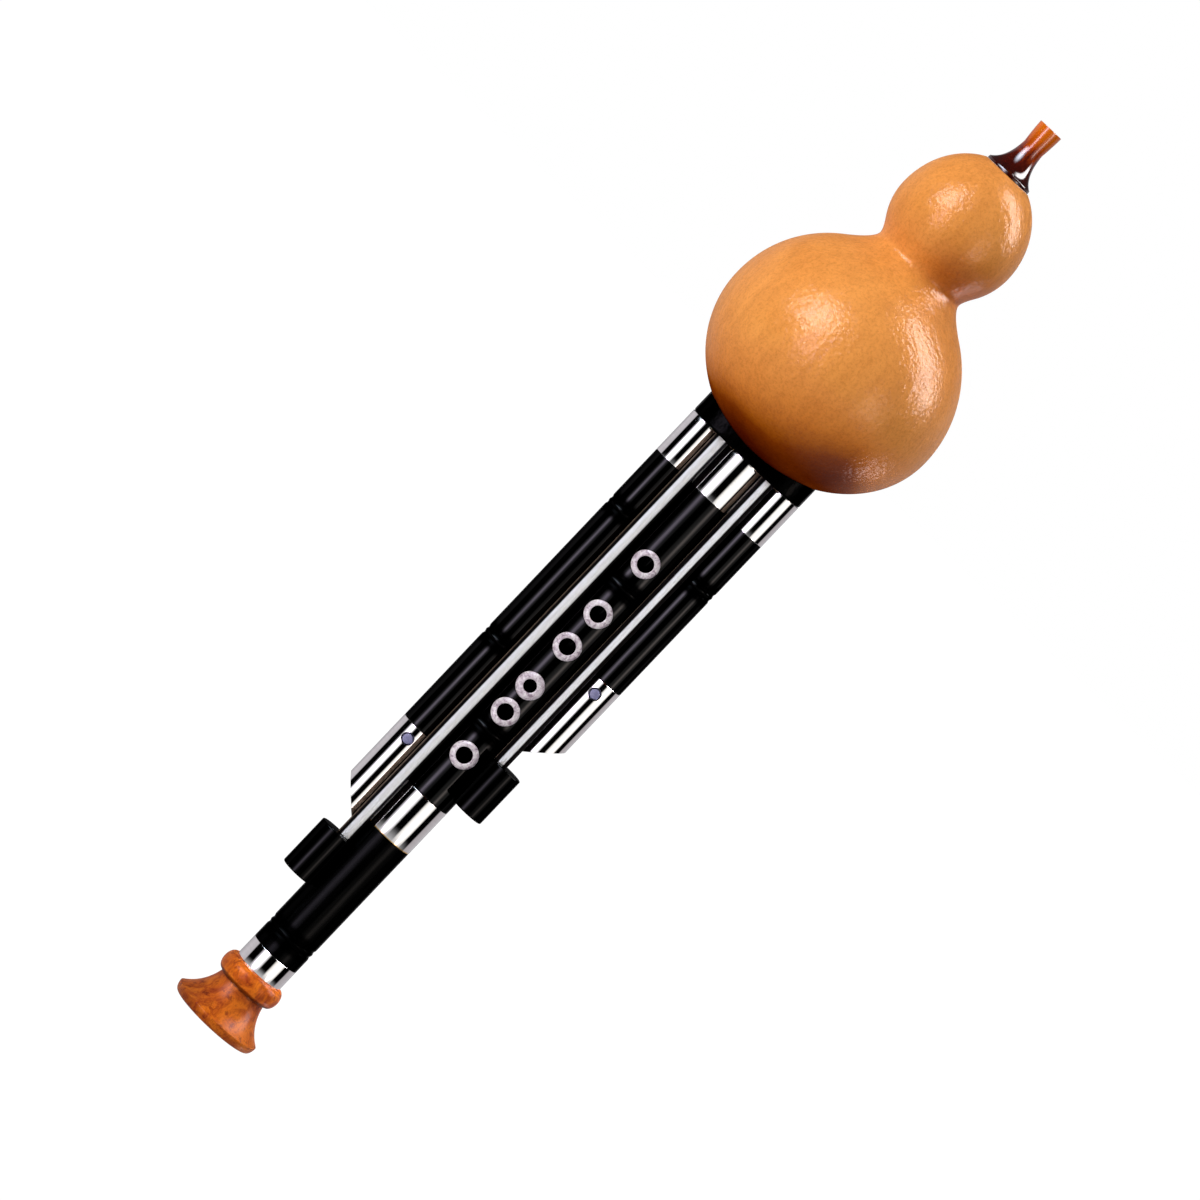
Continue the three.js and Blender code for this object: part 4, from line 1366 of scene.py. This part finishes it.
@dataclass
class BambooPipe:
    """A turned pipe with bamboo-joint bands: sizes that the melody pipe, the tail and the drones share.

    Attributes:
        radius: Outer radius.
        bore: Bore radius.
        seat: Radius of the seats under ferrules and caps.
        plug: Radius and length of the tenon at the top.
        band_height: Height of a band.
        band_depth: Depth of its grooves.
        cork_depth: Depth of the cork's seat in the tenon.
        collar: Length of the collar above the cork.
        past: How far a ferrule stands past the pipe's shoulder.
        ease: Rounding of the turned edges.
    """

    radius: float
    bore: float
    seat: float
    plug: Pair
    band_height: float = 4.6
    band_depth: float = 0.3
    cork_depth: float = 0.65
    collar: float = 2.0
    past: float = 0.25
    ease: float = 0.12

    def side(self, bottom: float, top: float, bands: list[float]) -> Array:
        """Profile up the pipe's side, with two soft grooves and a bead between them at each band.

        A groove's depth is D sin^2(2 pi s), s being the share of the band's height from its middle.

        Args:
            bottom: Height where the side begins.
            top: Height where it ends.
            bands: Heights of the bands' middles.

        Returns:
            Array of radius and height.
        """
        near = [band + self.band_height * np.linspace(-0.5, 0.5, 25) for band in bands]
        height = np.unique(np.concatenate([np.arange(bottom, top, 1.5), [top], *near]).round(3))
        radius = np.full_like(height, self.radius)
        for band in bands:
            share = np.clip((height - band) / self.band_height, -0.5, 0.5)
            radius -= self.band_depth * np.sin(2 * np.pi * share) ** 2
        return np.column_stack([radius, height])

    def tenon(self, shoulder: float) -> Array:
        """Profile of the tenon up from a shoulder, with its cork's seat and collar, to the edge of the bore.

        Args:
            shoulder: Height of the shoulder.

        Returns:
            Array of radius and height.
        """
        radius, end = self.plug[0], shoulder + self.plug[1]
        seat, edge = radius - self.cork_depth, end - self.collar
        return np.array([(seat, shoulder), (seat, edge), (radius, edge), (radius, end), (self.bore, end)])

    def cork(self, name: str, shoulder: float, x: float = 0.0) -> Sleeve:
        """The cork sleeve in the seat of the tenon above a shoulder.

        Args:
            name: Name of the piece.
            shoulder: Height of the shoulder.
            x: Axis of the pipe.

        Returns:
            The sleeve, still to be built.
        """
        radius, length = self.plug
        return Sleeve(name, radius, radius - self.cork_depth + FIT_GAP, shoulder + FIT_GAP,
                      shoulder + length - self.collar - FIT_GAP, x)

    def ferrule(self, name: str, bottom: float, top: float, x: float = 0.0) -> Sleeve:
        """A ferrule over one of the pipe's seats."""
        return Sleeve(name, self.radius, self.seat + FIT_GAP, bottom, top, x)


@dataclass
class MelodyPipe(BambooPipe):
    """The melody pipe: six ringed finger holes in front and a ringed thumb hole behind.

    Attributes:
        bottom: Height of the body's lower end; top is the shoulder's.
        lower_seat: Height where the lower ferrule's seat ends.
        upper_seat: Height where the upper ferrule's seat begins.
        bands: Heights of the bands, as shares of the body.
        holes: Heights of the finger holes, as shares of the body, from the lowest up.
        thumb: The same of the thumb hole.
        small_hole: Number of the smaller hole.
        ring_radius: Outer radius of a ring.
        ring_depth: How deep a ring is let in.
        ring_proud: How far its crest stands proud.
        crest: Height of the rounded part of a ring.
        short_of_axis: How far in front of the pipe's axis a hole ends.
        socket: Radius and height of the end of the tail pipe's socket.
    """

    radius: float = 9.8
    bore: float = 4.8
    seat: float = 9.15
    plug: Pair = (6.7, 15.0)
    bottom: float = 91.0
    top: float = 273.7
    lower_seat: float = 110.8
    upper_seat: float = 255.0
    bands: tuple[float, ...] = (0.286, 0.662)
    holes: tuple[float, ...] = (0.219, 0.334, 0.403, 0.507, 0.593, 0.725)
    thumb: float = 0.807
    small_hole: int = 3
    hole_radius: float = 3.05
    small_radius: float = 2.45
    ring_radius: float = 5.2
    ring_depth: float = 0.8
    ring_proud: float = 0.2
    crest: float = 0.42
    short_of_axis: float = 0.8
    socket: Pair = (7.25, 106.6)

    def height(self, share: float) -> float:
        """Height of a share of the pipe's body."""
        return self.bottom + (self.top - self.bottom) * share

    def hole(self, bore: float, height: float) -> Surface:
        """A finger hole with its ring's recess, to cut from the pipe.

        Args:
            bore: Radius of the hole.
            height: Height of its middle.

        Returns:
            The closed cutter.
        """
        floor, edge = -self.ring_depth - FIT_GAP, self.ring_radius + FIT_GAP
        deep = -self.radius + self.short_of_axis
        profile = np.array([(0, deep), (bore, deep), (bore, floor), (edge, floor), (edge, OVERRUN), (0, OVERRUN)])
        return wrapped(profile, self.radius, height, closed=False)

    def ring(self, bore: float, height: float) -> Surface:
        """A pearl ring, its top a half ellipse across from the hole to its outer edge.

        Args:
            bore: Radius of its hole.
            height: Height of its middle.

        Returns:
            The ring's surface.
        """
        middle, half = (self.ring_radius + bore) / 2, (self.ring_radius - bore) / 2
        crest = arc((middle, self.ring_proud - self.crest), (half, self.crest), 0, 180, 14)
        profile = joined([(bore, -self.ring_depth), (self.ring_radius, -self.ring_depth)], crest)
        return wrapped(profile, self.radius, height, closed=True)

    def build(self, finishes: FinishSet) -> None:
        """Makes the pipe, its rings, ferrules and cork.

        Args:
            finishes: The instrument's finishes.
        """
        bands = [self.height(share) for share in self.bands]
        profile = joined(
            [(self.socket[0], self.bottom), (self.seat, self.bottom), (self.seat, self.lower_seat)],
            self.side(self.lower_seat, self.upper_seat, bands),
            [(self.seat, self.upper_seat), (self.seat, self.top)],
            self.tenon(self.top),
            [(self.bore, self.socket[1]), self.socket],
        )
        cutters = []
        for number, share in enumerate(self.holes, start=1):
            bore = self.small_radius if number == self.small_hole else self.hole_radius
            cutters.append(self.hole(bore, self.height(share)))
            ring = mesh_object(f"finger_ring_{number}_piece", [self.ring(bore, self.height(share))])
            install(ring, "melody", finishes.pearl, f"finger_ring_{number}")
        thumb = self.height(self.thumb)
        cutters.append(self.hole(self.hole_radius, thumb).facing_back())
        ring = mesh_object("thumb_ring_piece", [self.ring(self.hole_radius, thumb).facing_back()])
        install(ring, "melody", finishes.pearl, "thumb_ring")
        pipe = carved(mesh_object("melody_pipe", [turned(eased(profile, self.ease), 160)]), cutters)
        install(pipe, "melody", finishes.black.banded("main_black_polish", bands), "main_pipe")
        upper = self.ferrule("main_top_ferrule", self.upper_seat + FIT_GAP, self.top + self.past)
        upper.build("melody", finishes.nickel)
        # The lower ferrule has a painted golden glint along its lower edge.
        lower = self.ferrule("main_lower_ferrule", self.bottom, self.lower_seat - FIT_GAP)
        lower.build("melody", finishes.worn_nickel)
        self.cork("main_tenon_cork", self.top).build("melody", finishes.cork)


@dataclass
class TailPipe(BambooPipe):
    """The tail pipe, with a tuning hole behind, its ferrule and cork.

    Attributes:
        shoulder: Height of the body's lower end, above the bell; top is the upper shoulder's.
        seat_top: Height where the ferrule's seat ends.
        band: Height of the band, as a share of the body.
        bell_tenon: Radius of the tenon in the bell, and height of its end.
        hole: Radius of the tuning hole, and its height as a share of the body.
    """

    radius: float = 9.8
    bore: float = 4.8
    seat: float = 9.15
    plug: Pair = (6.95, 15.0)
    shoulder: float = 24.5
    top: float = 90.7
    seat_top: float = 33.1
    band: float = 0.254
    bell_tenon: Pair = (6.9, 13.1)
    hole: Pair = (2.6, 0.58)

    def build(self, finishes: FinishSet) -> None:
        """Makes the pipe, its ferrule and its cork.

        Args:
            finishes: The instrument's finishes.
        """
        length = self.top - self.shoulder
        bands = [self.shoulder + length * self.band]
        tenon_radius, tenon_bottom = self.bell_tenon
        profile = joined(
            [(self.bore, tenon_bottom), (tenon_radius, tenon_bottom), (tenon_radius, self.shoulder),
             (self.seat, self.shoulder), (self.seat, self.seat_top)],
            self.side(self.seat_top, self.top, bands),
            self.tenon(self.top),
        )
        radius, share = self.hole
        drill = straight(0, radius, 0, self.radius + OVERRUN)
        cutter = rod_ahead(drill, self.shoulder + length * share).facing_back()
        pipe = carved(mesh_object("tail_pipe_piece", [turned(eased(profile, self.ease), 160)]), [cutter])
        install(pipe, "tail", finishes.tail_black.banded("tail_pipe_black_polish", bands), "tail_pipe")
        ferrule = self.ferrule("tail_ferrule", self.shoulder - self.past, self.seat_top - FIT_GAP)
        ferrule.build("tail", finishes.nickel)
        self.cork("tail_tenon_cork", self.top).build("tail", finishes.cork)


@dataclass
class WoodBell:
    """The turned bell: sharp lip, hollow flare, beaded ring over a groove, flared mouth and socket.

    Attributes:
        rim: Radius where the lip's rounding leaves the mouth's plane.
        lip: Radius and height of the lip's widest ring.
        flare_pull: Point that the flare leans towards.
        neck: Radius and height of the flare's end, under the ring.
        ring_edge: Radius where the bead begins; ring is its widest.
        socket: Radius and height of the end of the tail pipe's socket.
        throat: Height where the bore begins to flare, leaning towards mouth_pull, to the mouth's radius.
    """

    height: float = 24.2
    rim: float = 16.3
    lip: Pair = (18.0, 3.4)
    flare_pull: Pair = (11.36, 7.95)
    neck: Pair = (9.7, 16.4)
    ring_edge: float = 10.4
    ring: float = 12.7
    socket: Pair = (7.05, 12.65)
    bore: float = 4.8
    throat: float = 11.8
    mouth: float = 14.8
    mouth_pull: Pair = (9.6, 5.546)

    def build(self, finishes: FinishSet) -> None:
        """Makes and dresses the bell.

        Args:
            finishes: The instrument's finishes.
        """
        lip = arc((self.rim, self.lip[1]), (self.lip[0] - self.rim, self.lip[1]), -90, 0, 16)
        flare = bend(self.lip, self.flare_pull, self.neck, 32)
        half = (self.height - self.neck[1]) / 2
        bead = arc((self.ring_edge, self.neck[1] + half), (self.ring - self.ring_edge, half), -90, 90, 28)
        mouth = bend((self.bore, self.throat), self.mouth_pull, (self.mouth, 0), 24)
        profile = joined(lip, flare[1:], bead, [(self.socket[0], self.height), self.socket,
                                                (self.bore, self.socket[1])], mouth)
        bell = mesh_object("wood_bell", [turned(eased(profile, 0.25), 160)])
        install(bell, "tail", finishes.burl, "bell")


@dataclass
class Drone(BambooPipe):
    """One drone: pipe, ferrule, cork, slanted cap and the stopper in its tone hole.

    Attributes:
        side_of: Which side it stands on.
        bottom: Height of its body's lower end.
        bands: Heights of its bands, as shares of the body.
        cap_length: Length of the cap below the body.
        slant: How much shorter the cap is on its outer side.
        layout: The shared sizes.
        seat_length: Length of the cap's seat.
        upper_seat: Height where the ferrule's seat begins.
        hole_radius: Radius of the tone hole.
        hole_drop: How far below the body's lower end the hole is.
        stopper_radius: Radius of the stopper in the hole; its button is narrower.
        stopper_depth: How deep below the cap's side the stopper begins.
        button_sunk: How deep below it the button's face lies.
        button_length: Length of the button.
    """

    radius: float = 6.75
    bore: float = 3.0
    seat: float = 6.1
    plug: Pair = (4.1, 12.0)
    side_of: Side = Side.LEFT
    bottom: float = 126.444
    bands: tuple[float, ...] = (0.282, 0.71)
    cap_length: float = 41.0
    slant: float = 13.1
    layout: Layout = Layout()
    seat_length: float = 14.0
    upper_seat: float = 255.0
    hole_radius: float = 2.45
    hole_drop: float = 5.3
    stopper_radius: float = 2.3
    button_radius: float = 1.8
    stopper_depth: float = 3.4
    button_sunk: float = 0.2
    button_length: float = 2.2

    def cap(self) -> Surface:
        """The cap: a tube whose lower end is cut on a slant.

        The end's height is z = tip + slant (s x + R) / 2R, s being the side. The rows stand evenly between it
        and the top, with one more near each for the rounded rims.

        Returns:
            The cap's surface, about its own axis.
        """
        angle = all_round(128)
        tip, top = self.bottom - self.cap_length, self.bottom - FIT_GAP
        x = self.side_of.value * self.radius * np.cos(angle)
        low = tip + self.slant * (x + self.radius) / (2 * self.radius)
        side = np.full(40, self.radius)
        radius = np.concatenate([[self.radius - self.ease], side, [self.radius - self.ease],
                                 np.full(4, self.seat + FIT_GAP)])[:, None]
        rising, end = np.linspace(0.004, 1.0, 40)[:-1], [0.996, 1.0]
        share = np.concatenate([[0.0], rising, end, [1.0, 0.7, 0.3, 0.0]])[:, None]
        height = low + (top - low) * share
        return Surface(np.stack([radius * np.cos(angle), radius * np.sin(angle), height], axis=-1))

    def build(self, finishes: FinishSet) -> None:
        """Makes every piece of the drone.

        Args:
            finishes: The instrument's finishes.
        """
        name = f"{self.side_of.name.lower()}_drone"
        x = self.side_of.value * self.layout.drone_x
        top = self.layout.main_top
        bands = [self.bottom + (top - self.bottom) * share for share in self.bands]
        seat_end = self.bottom - self.seat_length
        profile = joined(
            [(self.bore, seat_end), (self.seat, seat_end), (self.seat, self.bottom)],
            self.side(self.bottom, self.upper_seat, bands),
            [(self.seat, self.upper_seat), (self.seat, top)],
            self.tenon(top),
        )
        hole = self.bottom - self.hole_drop
        cutter = rod_ahead(straight(0, self.hole_radius, 0, self.radius + OVERRUN), hole, 64).moved(x)
        pipe = carved(mesh_object(f"{name}_body", [turned(eased(profile, self.ease), 128).moved(x)]), [cutter])
        install(pipe, name, finishes.black.banded(f"{name}_black_polish", bands), f"{name}_pipe")
        cap = carved(mesh_object(f"{name}_end_cap", [self.cap().moved(x)]), [cutter])
        install(cap, name, finishes.nickel, f"{name}_cap")
        rim, face = self.stopper_radius, self.button_radius
        base, front = self.radius - self.stopper_depth, self.radius - self.button_sunk
        step = front - self.button_length
        button = np.array([(0, base), (rim, base), (rim, step), (face, step), (face, front), (0, front)])
        stopper = rod_ahead(eased(button, 0.15, closed=False), hole, 64).moved(x)
        install(mesh_object(f"{name}_button", [stopper]), name, finishes.lilac, f"{name}_stopper")
        ferrule = self.ferrule(f"{name}_ferrule", self.upper_seat + FIT_GAP, top + self.past, x)
        ferrule.build(name, finishes.nickel)
        self.cork(f"{name}_tenon_cork", top, x).build(name, finishes.cork)


@dataclass
class DroneStop:
    """One stop: rod, knob, and the sleeve and nut inside the gourd.

    Attributes:
        side: Which side it stands on.
        knob_top: Height of the knob's top.
        layout: The shared sizes.
        knob_height: Height of the knob.
        knob_edge: Rounding of its edges.
        slim: Radius of the rod below the base block.
        taper: Height over which it widens to the rod's radius, just below the block.
        spigot: Radius of both ends, in the knob and in the nut.
        spigot_length: Length of the lower one.
        shoulder: Height where the upper one begins; it ends at tip.
        ease: Rounding of the turned edges.
    """

    side: Side
    knob_top: float
    layout: Layout
    knob_height: float = 20.6
    knob_edge: float = 0.5
    slim: float = 2.75
    taper: float = 0.4
    spigot: float = 2.0
    spigot_length: float = 12.0
    shoulder: float = 305.95
    tip: float = 314.65
    ease: float = 0.12

    def build(self, finishes: FinishSet) -> None:
        """Makes the rod and knob, and dresses the sleeve and nut.

        Args:
            finishes: The instrument's finishes.
        """
        name = self.side.name.lower()
        rod_x, rod_y = self.layout.rod_place()
        knob_x, knob_y = self.layout.knob_place()
        low, step = self.knob_top - self.spigot_length, self.knob_top + FIT_GAP
        wide, slim, neck = self.layout.rod_radius, self.slim, self.layout.block_bottom - self.layout.slide_gap
        profile = np.array([(0, low), (self.spigot, low), (self.spigot, step), (slim, step),
                            (slim, neck - self.taper), (wide, neck), (wide, self.shoulder),
                            (self.spigot, self.shoulder), (self.spigot, self.tip), (0, self.tip)])
        rod = turned(eased(profile, self.ease, closed=False), 96, closed=False)
        rod = mesh_object(f"{name}_pull_rod", [rod.moved(self.side.value * rod_x, rod_y)])
        rod_finish = finishes.left_rod if self.side is Side.LEFT else finishes.right_rod
        install(rod, f"{name}_stop", rod_finish, f"{name}_rod")
        radius, edge = self.layout.knob_radius, self.knob_edge
        bottom, top = self.knob_top - self.knob_height, self.knob_top
        body = joined([(0, bottom)], arc((radius - edge, bottom + edge), (edge, edge), -90, 0, 8),
                      arc((radius - edge, top - edge), (edge, edge), 0, 90, 8), [(0, top)])
        drill = straight(0, self.spigot + FIT_GAP, low - FIT_GAP, top + OVERRUN)
        cutter = turned(drill, 48, closed=False).moved(self.side.value * rod_x, rod_y)
        turned_body = turned(body, 128, closed=False).moved(self.side.value * knob_x, knob_y)
        knob = carved(mesh_object(f"{name}_pull_knob", [turned_body]), [cutter])
        install(knob, f"{name}_stop", finishes.knob_black, f"{name}_knob")
        dress(f"{name}_shutter", finishes.brass)
        dress(f"{name}_rod_nut", finishes.brass)


# Studio


def direction(azimuth: float, elevation: float) -> Vector:
    """Direction to the right of the camera's side and above the level, both in degrees."""
    side, up = math.radians(azimuth), math.radians(elevation)
    return Vector((math.sin(side) * math.cos(up), -math.cos(side) * math.cos(up), math.sin(up)))


@dataclass(frozen=True)
class Lamp:
    """A soft square lamp for matt surfaces; what shines in glossy ones is the room.

    Attributes:
        name: Name of the lamp.
        azimuth: Degrees to the right of the camera's side, seen from above.
        elevation: Degrees above the level.
        distance: Distance from what it looks at, in metres.
        size: Width and height, in metres.
        watts: Power.
        tint: Colour of its light.
        aim: Height that it looks at, in metres.
    """

    name: str
    azimuth: float
    elevation: float
    distance: float
    size: float
    watts: float
    tint: Colour
    aim: float = 0.32

    def build(self) -> None:
        """Makes the lamp."""
        way = direction(self.azimuth, self.elevation)
        light = bpy.data.lights.new(self.name, "AREA")
        light.size = self.size
        light.energy = self.watts
        light.color = self.tint
        lamp = bpy.data.objects.new(self.name, light)
        bpy.context.scene.collection.objects.link(lamp)
        lamp.location = Vector((0, 0, self.aim)) + way * self.distance
        lamp.rotation_euler = way.to_track_quat("Z", "Y").to_euler()
        lamp.visible_glossy = False


@dataclass(frozen=True)
class Pane:
    """A bright, far pane of the room, which shows as a soft spot on round varnished surfaces.

    Attributes:
        azimuth: Degrees to the right of the camera's side.
        elevation: Degrees above the level.
        lean: Degrees that it is turned to the right about its middle.
        half: Half its width and half its height, at a distance of 1.
        light: Brightness.
        tint: Colour.
        crisp: Share of its half width where its edge begins to fade.
    """

    azimuth: float
    elevation: float
    lean: float
    half: Pair
    light: float
    tint: Colour
    crisp: float = 0.4

    def add(self, graph: Graph, room: bpy.types.NodeSocket, way: bpy.types.NodeSocket,
            off_level: bpy.types.NodeSocket) -> bpy.types.NodeSocket:
        """Adds the pane to a room.

        Args:
            graph: The world's graph.
            room: Colour so far.
            way: Direction looked in.
            off_level: 0 near the level, where upright pieces are reflected from, and 1 elsewhere.

        Returns:
            The new colour's socket.
        """
        out = direction(self.azimuth, self.elevation)
        level = direction(self.azimuth + 90, 0)
        turn = Matrix.Rotation(math.radians(self.lean), 3, out)
        far = graph.math("MAXIMUM", graph.along(way, out), 0.001)
        inside = None
        for axis, half in zip((turn @ level, turn @ out.cross(level)), self.half):
            off = graph.math("ABSOLUTE", graph.math("DIVIDE", graph.along(way, axis), far))
            within = graph.span(off, half, half * self.crisp)
            inside = within if inside is None else graph.math("MULTIPLY", inside, within)
        inside = graph.math("MULTIPLY", inside, off_level)
        return graph.mix(inside, room, tuple(self.light * channel for channel in self.tint), "ADD")


@dataclass(frozen=True)
class Studio:
    """Camera, a soft lamp, the room that metal reflects, and a white floor.

    Attributes:
        eye: Where the camera is, in metres.
        aim: What it looks at, in metres.
        lean: How far it is rolled, in degrees.
        lens: Its focal length, in millimetres.
        room: What shines round the instrument, by degrees right of the camera's side: brightness and tint.
        room_gain: Brightness of the room's strongest card.
        fill: Light from all round on matt surfaces.
        fill_left: How much more of it comes from the left.
        fill_top: How much more of it comes from above.
        panes: Bright panes of the room above and below the level.
        key: The lamp.
        ground: What shines from the ground, which metal shows when it is seen from above.
        sky: The same overhead.
        cards_end: How far off the level the room's cards are gone and whole, as heights of a direction.
        panes_end: The same from where the panes are gone to where they are whole.
        floor_height: Height of the floor, below the bell with both slides drawn out, in metres.
        floor_grey: How much light the floor throws back.
        floor_glow: Brightness of its own that the camera sees.
        floor_white: Share of that brightness in what the camera sees; the rest keeps the shadow.
    """

    eye: Point = (0.0, -2.6, 0.4073)
    aim: Point = (-0.003, 0.0, 0.2027)
    lean: float = 43.47
    lens: float = 222.9
    room_gain: float = 13.0
    fill: float = 0.6
    fill_left: float = 0.1
    fill_top: float = 0.32
    panes: tuple[Pane, ...] = (
        Pane(-42, 24, 43.6, (0.62, 0.42), 2.2, (0.72, 0.84, 1.0), 0.05),
        Pane(99, 49, 0, (0.27, 0.68), 1.5, (1.0, 0.98, 1.0), 0.55),
        Pane(118, -28.7, 43.6, (0.16, 0.22), 0.7, (1.0, 0.8, 0.78), 0.2),
    )
    key: Lamp = Lamp("key", -50, 12, 1.2, 0.5, 6.5, (1.0, 0.98, 0.95))
    ground: Colour = (0.04, 0.04, 0.041)
    sky: Colour = (0.004, 0.004, 0.004)
    cards_end: Pair = (0.34, 0.2)
    panes_end: Pair = (0.1, 0.24)
    floor_height: float = -0.038
    floor_grey: float = 0.4
    floor_glow: float = 1.16
    floor_white: float = 0.86
    room: tuple[tuple[float, float, Colour], ...] = (
        (-180, 0.002, (1.0, 0.97, 1.02)),
        (-160, 0.03, (1.0, 0.97, 1.03)),
        (-118, 0.045, (1.0, 0.96, 1.02)),
        (-86, 0.04, (1.0, 0.96, 1.02)),
        (-81, 0.0, WHITE),
        (-50, 0.0, WHITE),
        (-45, 0.04, (1.0, 0.98, 1.04)),
        (-40, 0.08, (1.0, 0.96, 1.06)),
        (-35, 0.3, (1.0, 0.9, 1.12)),
        (-31, 0.75, (0.97, 0.85, 1.1)),
        (-27, 1.0, (0.93, 0.82, 1.0)),
        (-23, 0.75, (0.97, 0.85, 1.1)),
        (-19, 0.3, (1.0, 0.9, 1.12)),
        (-14, 0.08, (1.0, 0.96, 1.06)),
        (-9, 0.06, WHITE),
        (-4, 0.0, WHITE),
        (23, 0.0, WHITE),
        (29, 0.07, (1.0, 0.98, 0.94)),
        (41, 0.1, (1.0, 0.97, 0.95)),
        (46, 0.42, (1.0, 0.88, 0.84)),
        (50, 0.66, (1.0, 0.86, 0.8)),
        (54, 0.42, (1.0, 0.88, 0.84)),
        (59, 0.1, (1.0, 0.95, 0.92)),
        (68, 0.07, (1.0, 0.98, 0.94)),
        (73, 0.0, WHITE),
        (99, 0.0, WHITE),
        (105, 0.032, (1.0, 0.93, 0.97)),
        (134, 0.036, (1.0, 0.95, 1.0)),
        (160, 0.04, (1.0, 0.97, 1.02)),
        (180, 0.002, (1.0, 0.97, 1.02)),
    )

    def camera(self) -> None:
        """Sets the camera level with the photograph, rolled so that the instrument leans."""
        eye, aim = Vector(self.eye), Vector(self.aim)
        lean = math.radians(self.lean)
        back = (eye - aim).normalized()
        up = Vector((-math.sin(lean), 0, math.cos(lean)))
        right = up.cross(back).normalized()
        data = bpy.data.cameras.new("camera")
        data.lens = self.lens
        data.sensor_width = 36.0
        data.sensor_fit = "HORIZONTAL"
        data.clip_end = 50.0
        camera = bpy.data.objects.new("camera", data)
        bpy.context.scene.collection.objects.link(camera)
        turn = Matrix((right, back.cross(right), back)).transposed().to_4x4()
        camera.matrix_world = Matrix.Translation(eye) @ turn
        bpy.context.scene.camera = camera

    def world(self) -> None:
        """White behind, even light on matt surfaces, and a room of cards for reflections."""
        world = bpy.data.worlds.new("studio")
        world.use_nodes = True
        bpy.context.scene.world = world
        graph = Graph(world.node_tree)
        way = graph.add("ShaderNodeTexCoord").outputs["Generated"]
        parts = graph.add("ShaderNodeSeparateXYZ", {0: way})
        turn = graph.math("ARCTAN2", parts.outputs["X"], graph.math("MULTIPLY", parts.outputs["Y"], -1.0))
        round_share = {0: turn, 1: 1 / (2 * math.pi), 2: 0.5}
        share = graph.add("ShaderNodeMath", round_share, operation="MULTIPLY_ADD").outputs[0]
        stops = [((at + 180) / 360, tuple(min(level * c, 1.0) for c in tint)) for at, level, tint in self.room]
        cards = graph.ramp(share, stops)
        height = parts.outputs["Z"]
        far = graph.mix(graph.span(height, -0.1, 0.1), self.ground, self.sky)
        room = graph.mix(graph.span(graph.math("ABSOLUTE", height), *self.cards_end), far, cards)
        off_level = graph.span(graph.math("ABSOLUTE", height), *self.panes_end)
        for pane in self.panes:
            room = pane.add(graph, room, way, off_level)
        path = graph.add("ShaderNodeLightPath")
        reflected = graph.add("ShaderNodeBackground", {"Color": room, "Strength": self.room_gain})
        tilt = graph.math("ADD", graph.math("MULTIPLY", parts.outputs["X"], -self.fill_left),
                          graph.math("MULTIPLY", height, self.fill_top))
        fill = graph.math("ADD", tilt, self.fill)
        even = graph.add("ShaderNodeBackground", {"Color": (*WHITE, 1), "Strength": fill})
        white = graph.add("ShaderNodeBackground", {"Color": (*WHITE, 1), "Strength": 1.0})
        lit = graph.blend(path.outputs["Is Glossy Ray"], even, reflected)
        seen = graph.math("MAXIMUM", path.outputs["Is Camera Ray"], path.outputs["Is Transmission Ray"])
        graph.add("ShaderNodeOutputWorld", {"Surface": graph.blend(seen, lit, white).outputs[0]})

    def floor(self) -> None:
        """A white floor below the drawn-out pipes: it keeps a faint shadow, and from below one sees through it."""
        mesh = bpy.data.meshes.new("floor")
        reach, low = 8.0, self.floor_height
        mesh.from_pydata([(-reach, -reach, low), (reach, -reach, low), (reach, reach, low), (-reach, reach, low)],
                         [], [(0, 1, 2, 3)])
        floor = bpy.data.objects.new("floor", mesh)
        bpy.context.scene.collection.objects.link(floor)
        material = bpy.data.materials.new("floor_paper")
        material.use_nodes = True
        graph = Graph(material.node_tree)
        path = graph.add("ShaderNodeLightPath")
        paper = graph.add("ShaderNodeBsdfDiffuse", {"Color": (*(self.floor_grey,) * 3, 1)})
        glow = graph.add("ShaderNodeEmission", {"Color": (*WHITE, 1), "Strength": self.floor_glow})
        shown = graph.blend(path.outputs["Is Camera Ray"], paper, graph.blend(self.floor_white, paper, glow))
        below = graph.add("ShaderNodeNewGeometry").outputs["Backfacing"]
        clear = graph.add("ShaderNodeBsdfTransparent", {"Color": (*WHITE, 1)})
        graph.add("ShaderNodeOutputMaterial", {"Surface": graph.blend(below, shown, clear).outputs[0]})
        floor.data.materials.append(material)
        floor.visible_glossy = False

    def build(self) -> None:
        """Sets up camera, world, floor and lamp."""
        bpy.context.scene.view_settings.view_transform = "Standard"
        self.camera()
        self.world()
        self.floor()
        self.key.build()


def main() -> None:
    """Builds every sub-assembly over its solids."""
    logging.basicConfig(level=logging.INFO, format="%(name)s: %(message)s")
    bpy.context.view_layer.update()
    layout = Layout()
    finishes = FinishSet()
    Studio().build()
    GourdShell().build(finishes)
    Mouthpiece().build(finishes)
    BaseBlock(layout).build(finishes)
    MelodyPipe().build(finishes)
    TailPipe().build(finishes)
    WoodBell().build(finishes)
    Drone().build(finishes)
    Drone(side_of=Side.RIGHT, bottom=183.2635, bands=(0.517,), cap_length=39.3, slant=11.0).build(finishes)
    DroneStop(Side.LEFT, 80.944, layout).build(finishes)
    DroneStop(Side.RIGHT, 137.6635, layout).build(finishes)


if __name__ == "__main__":
    main()
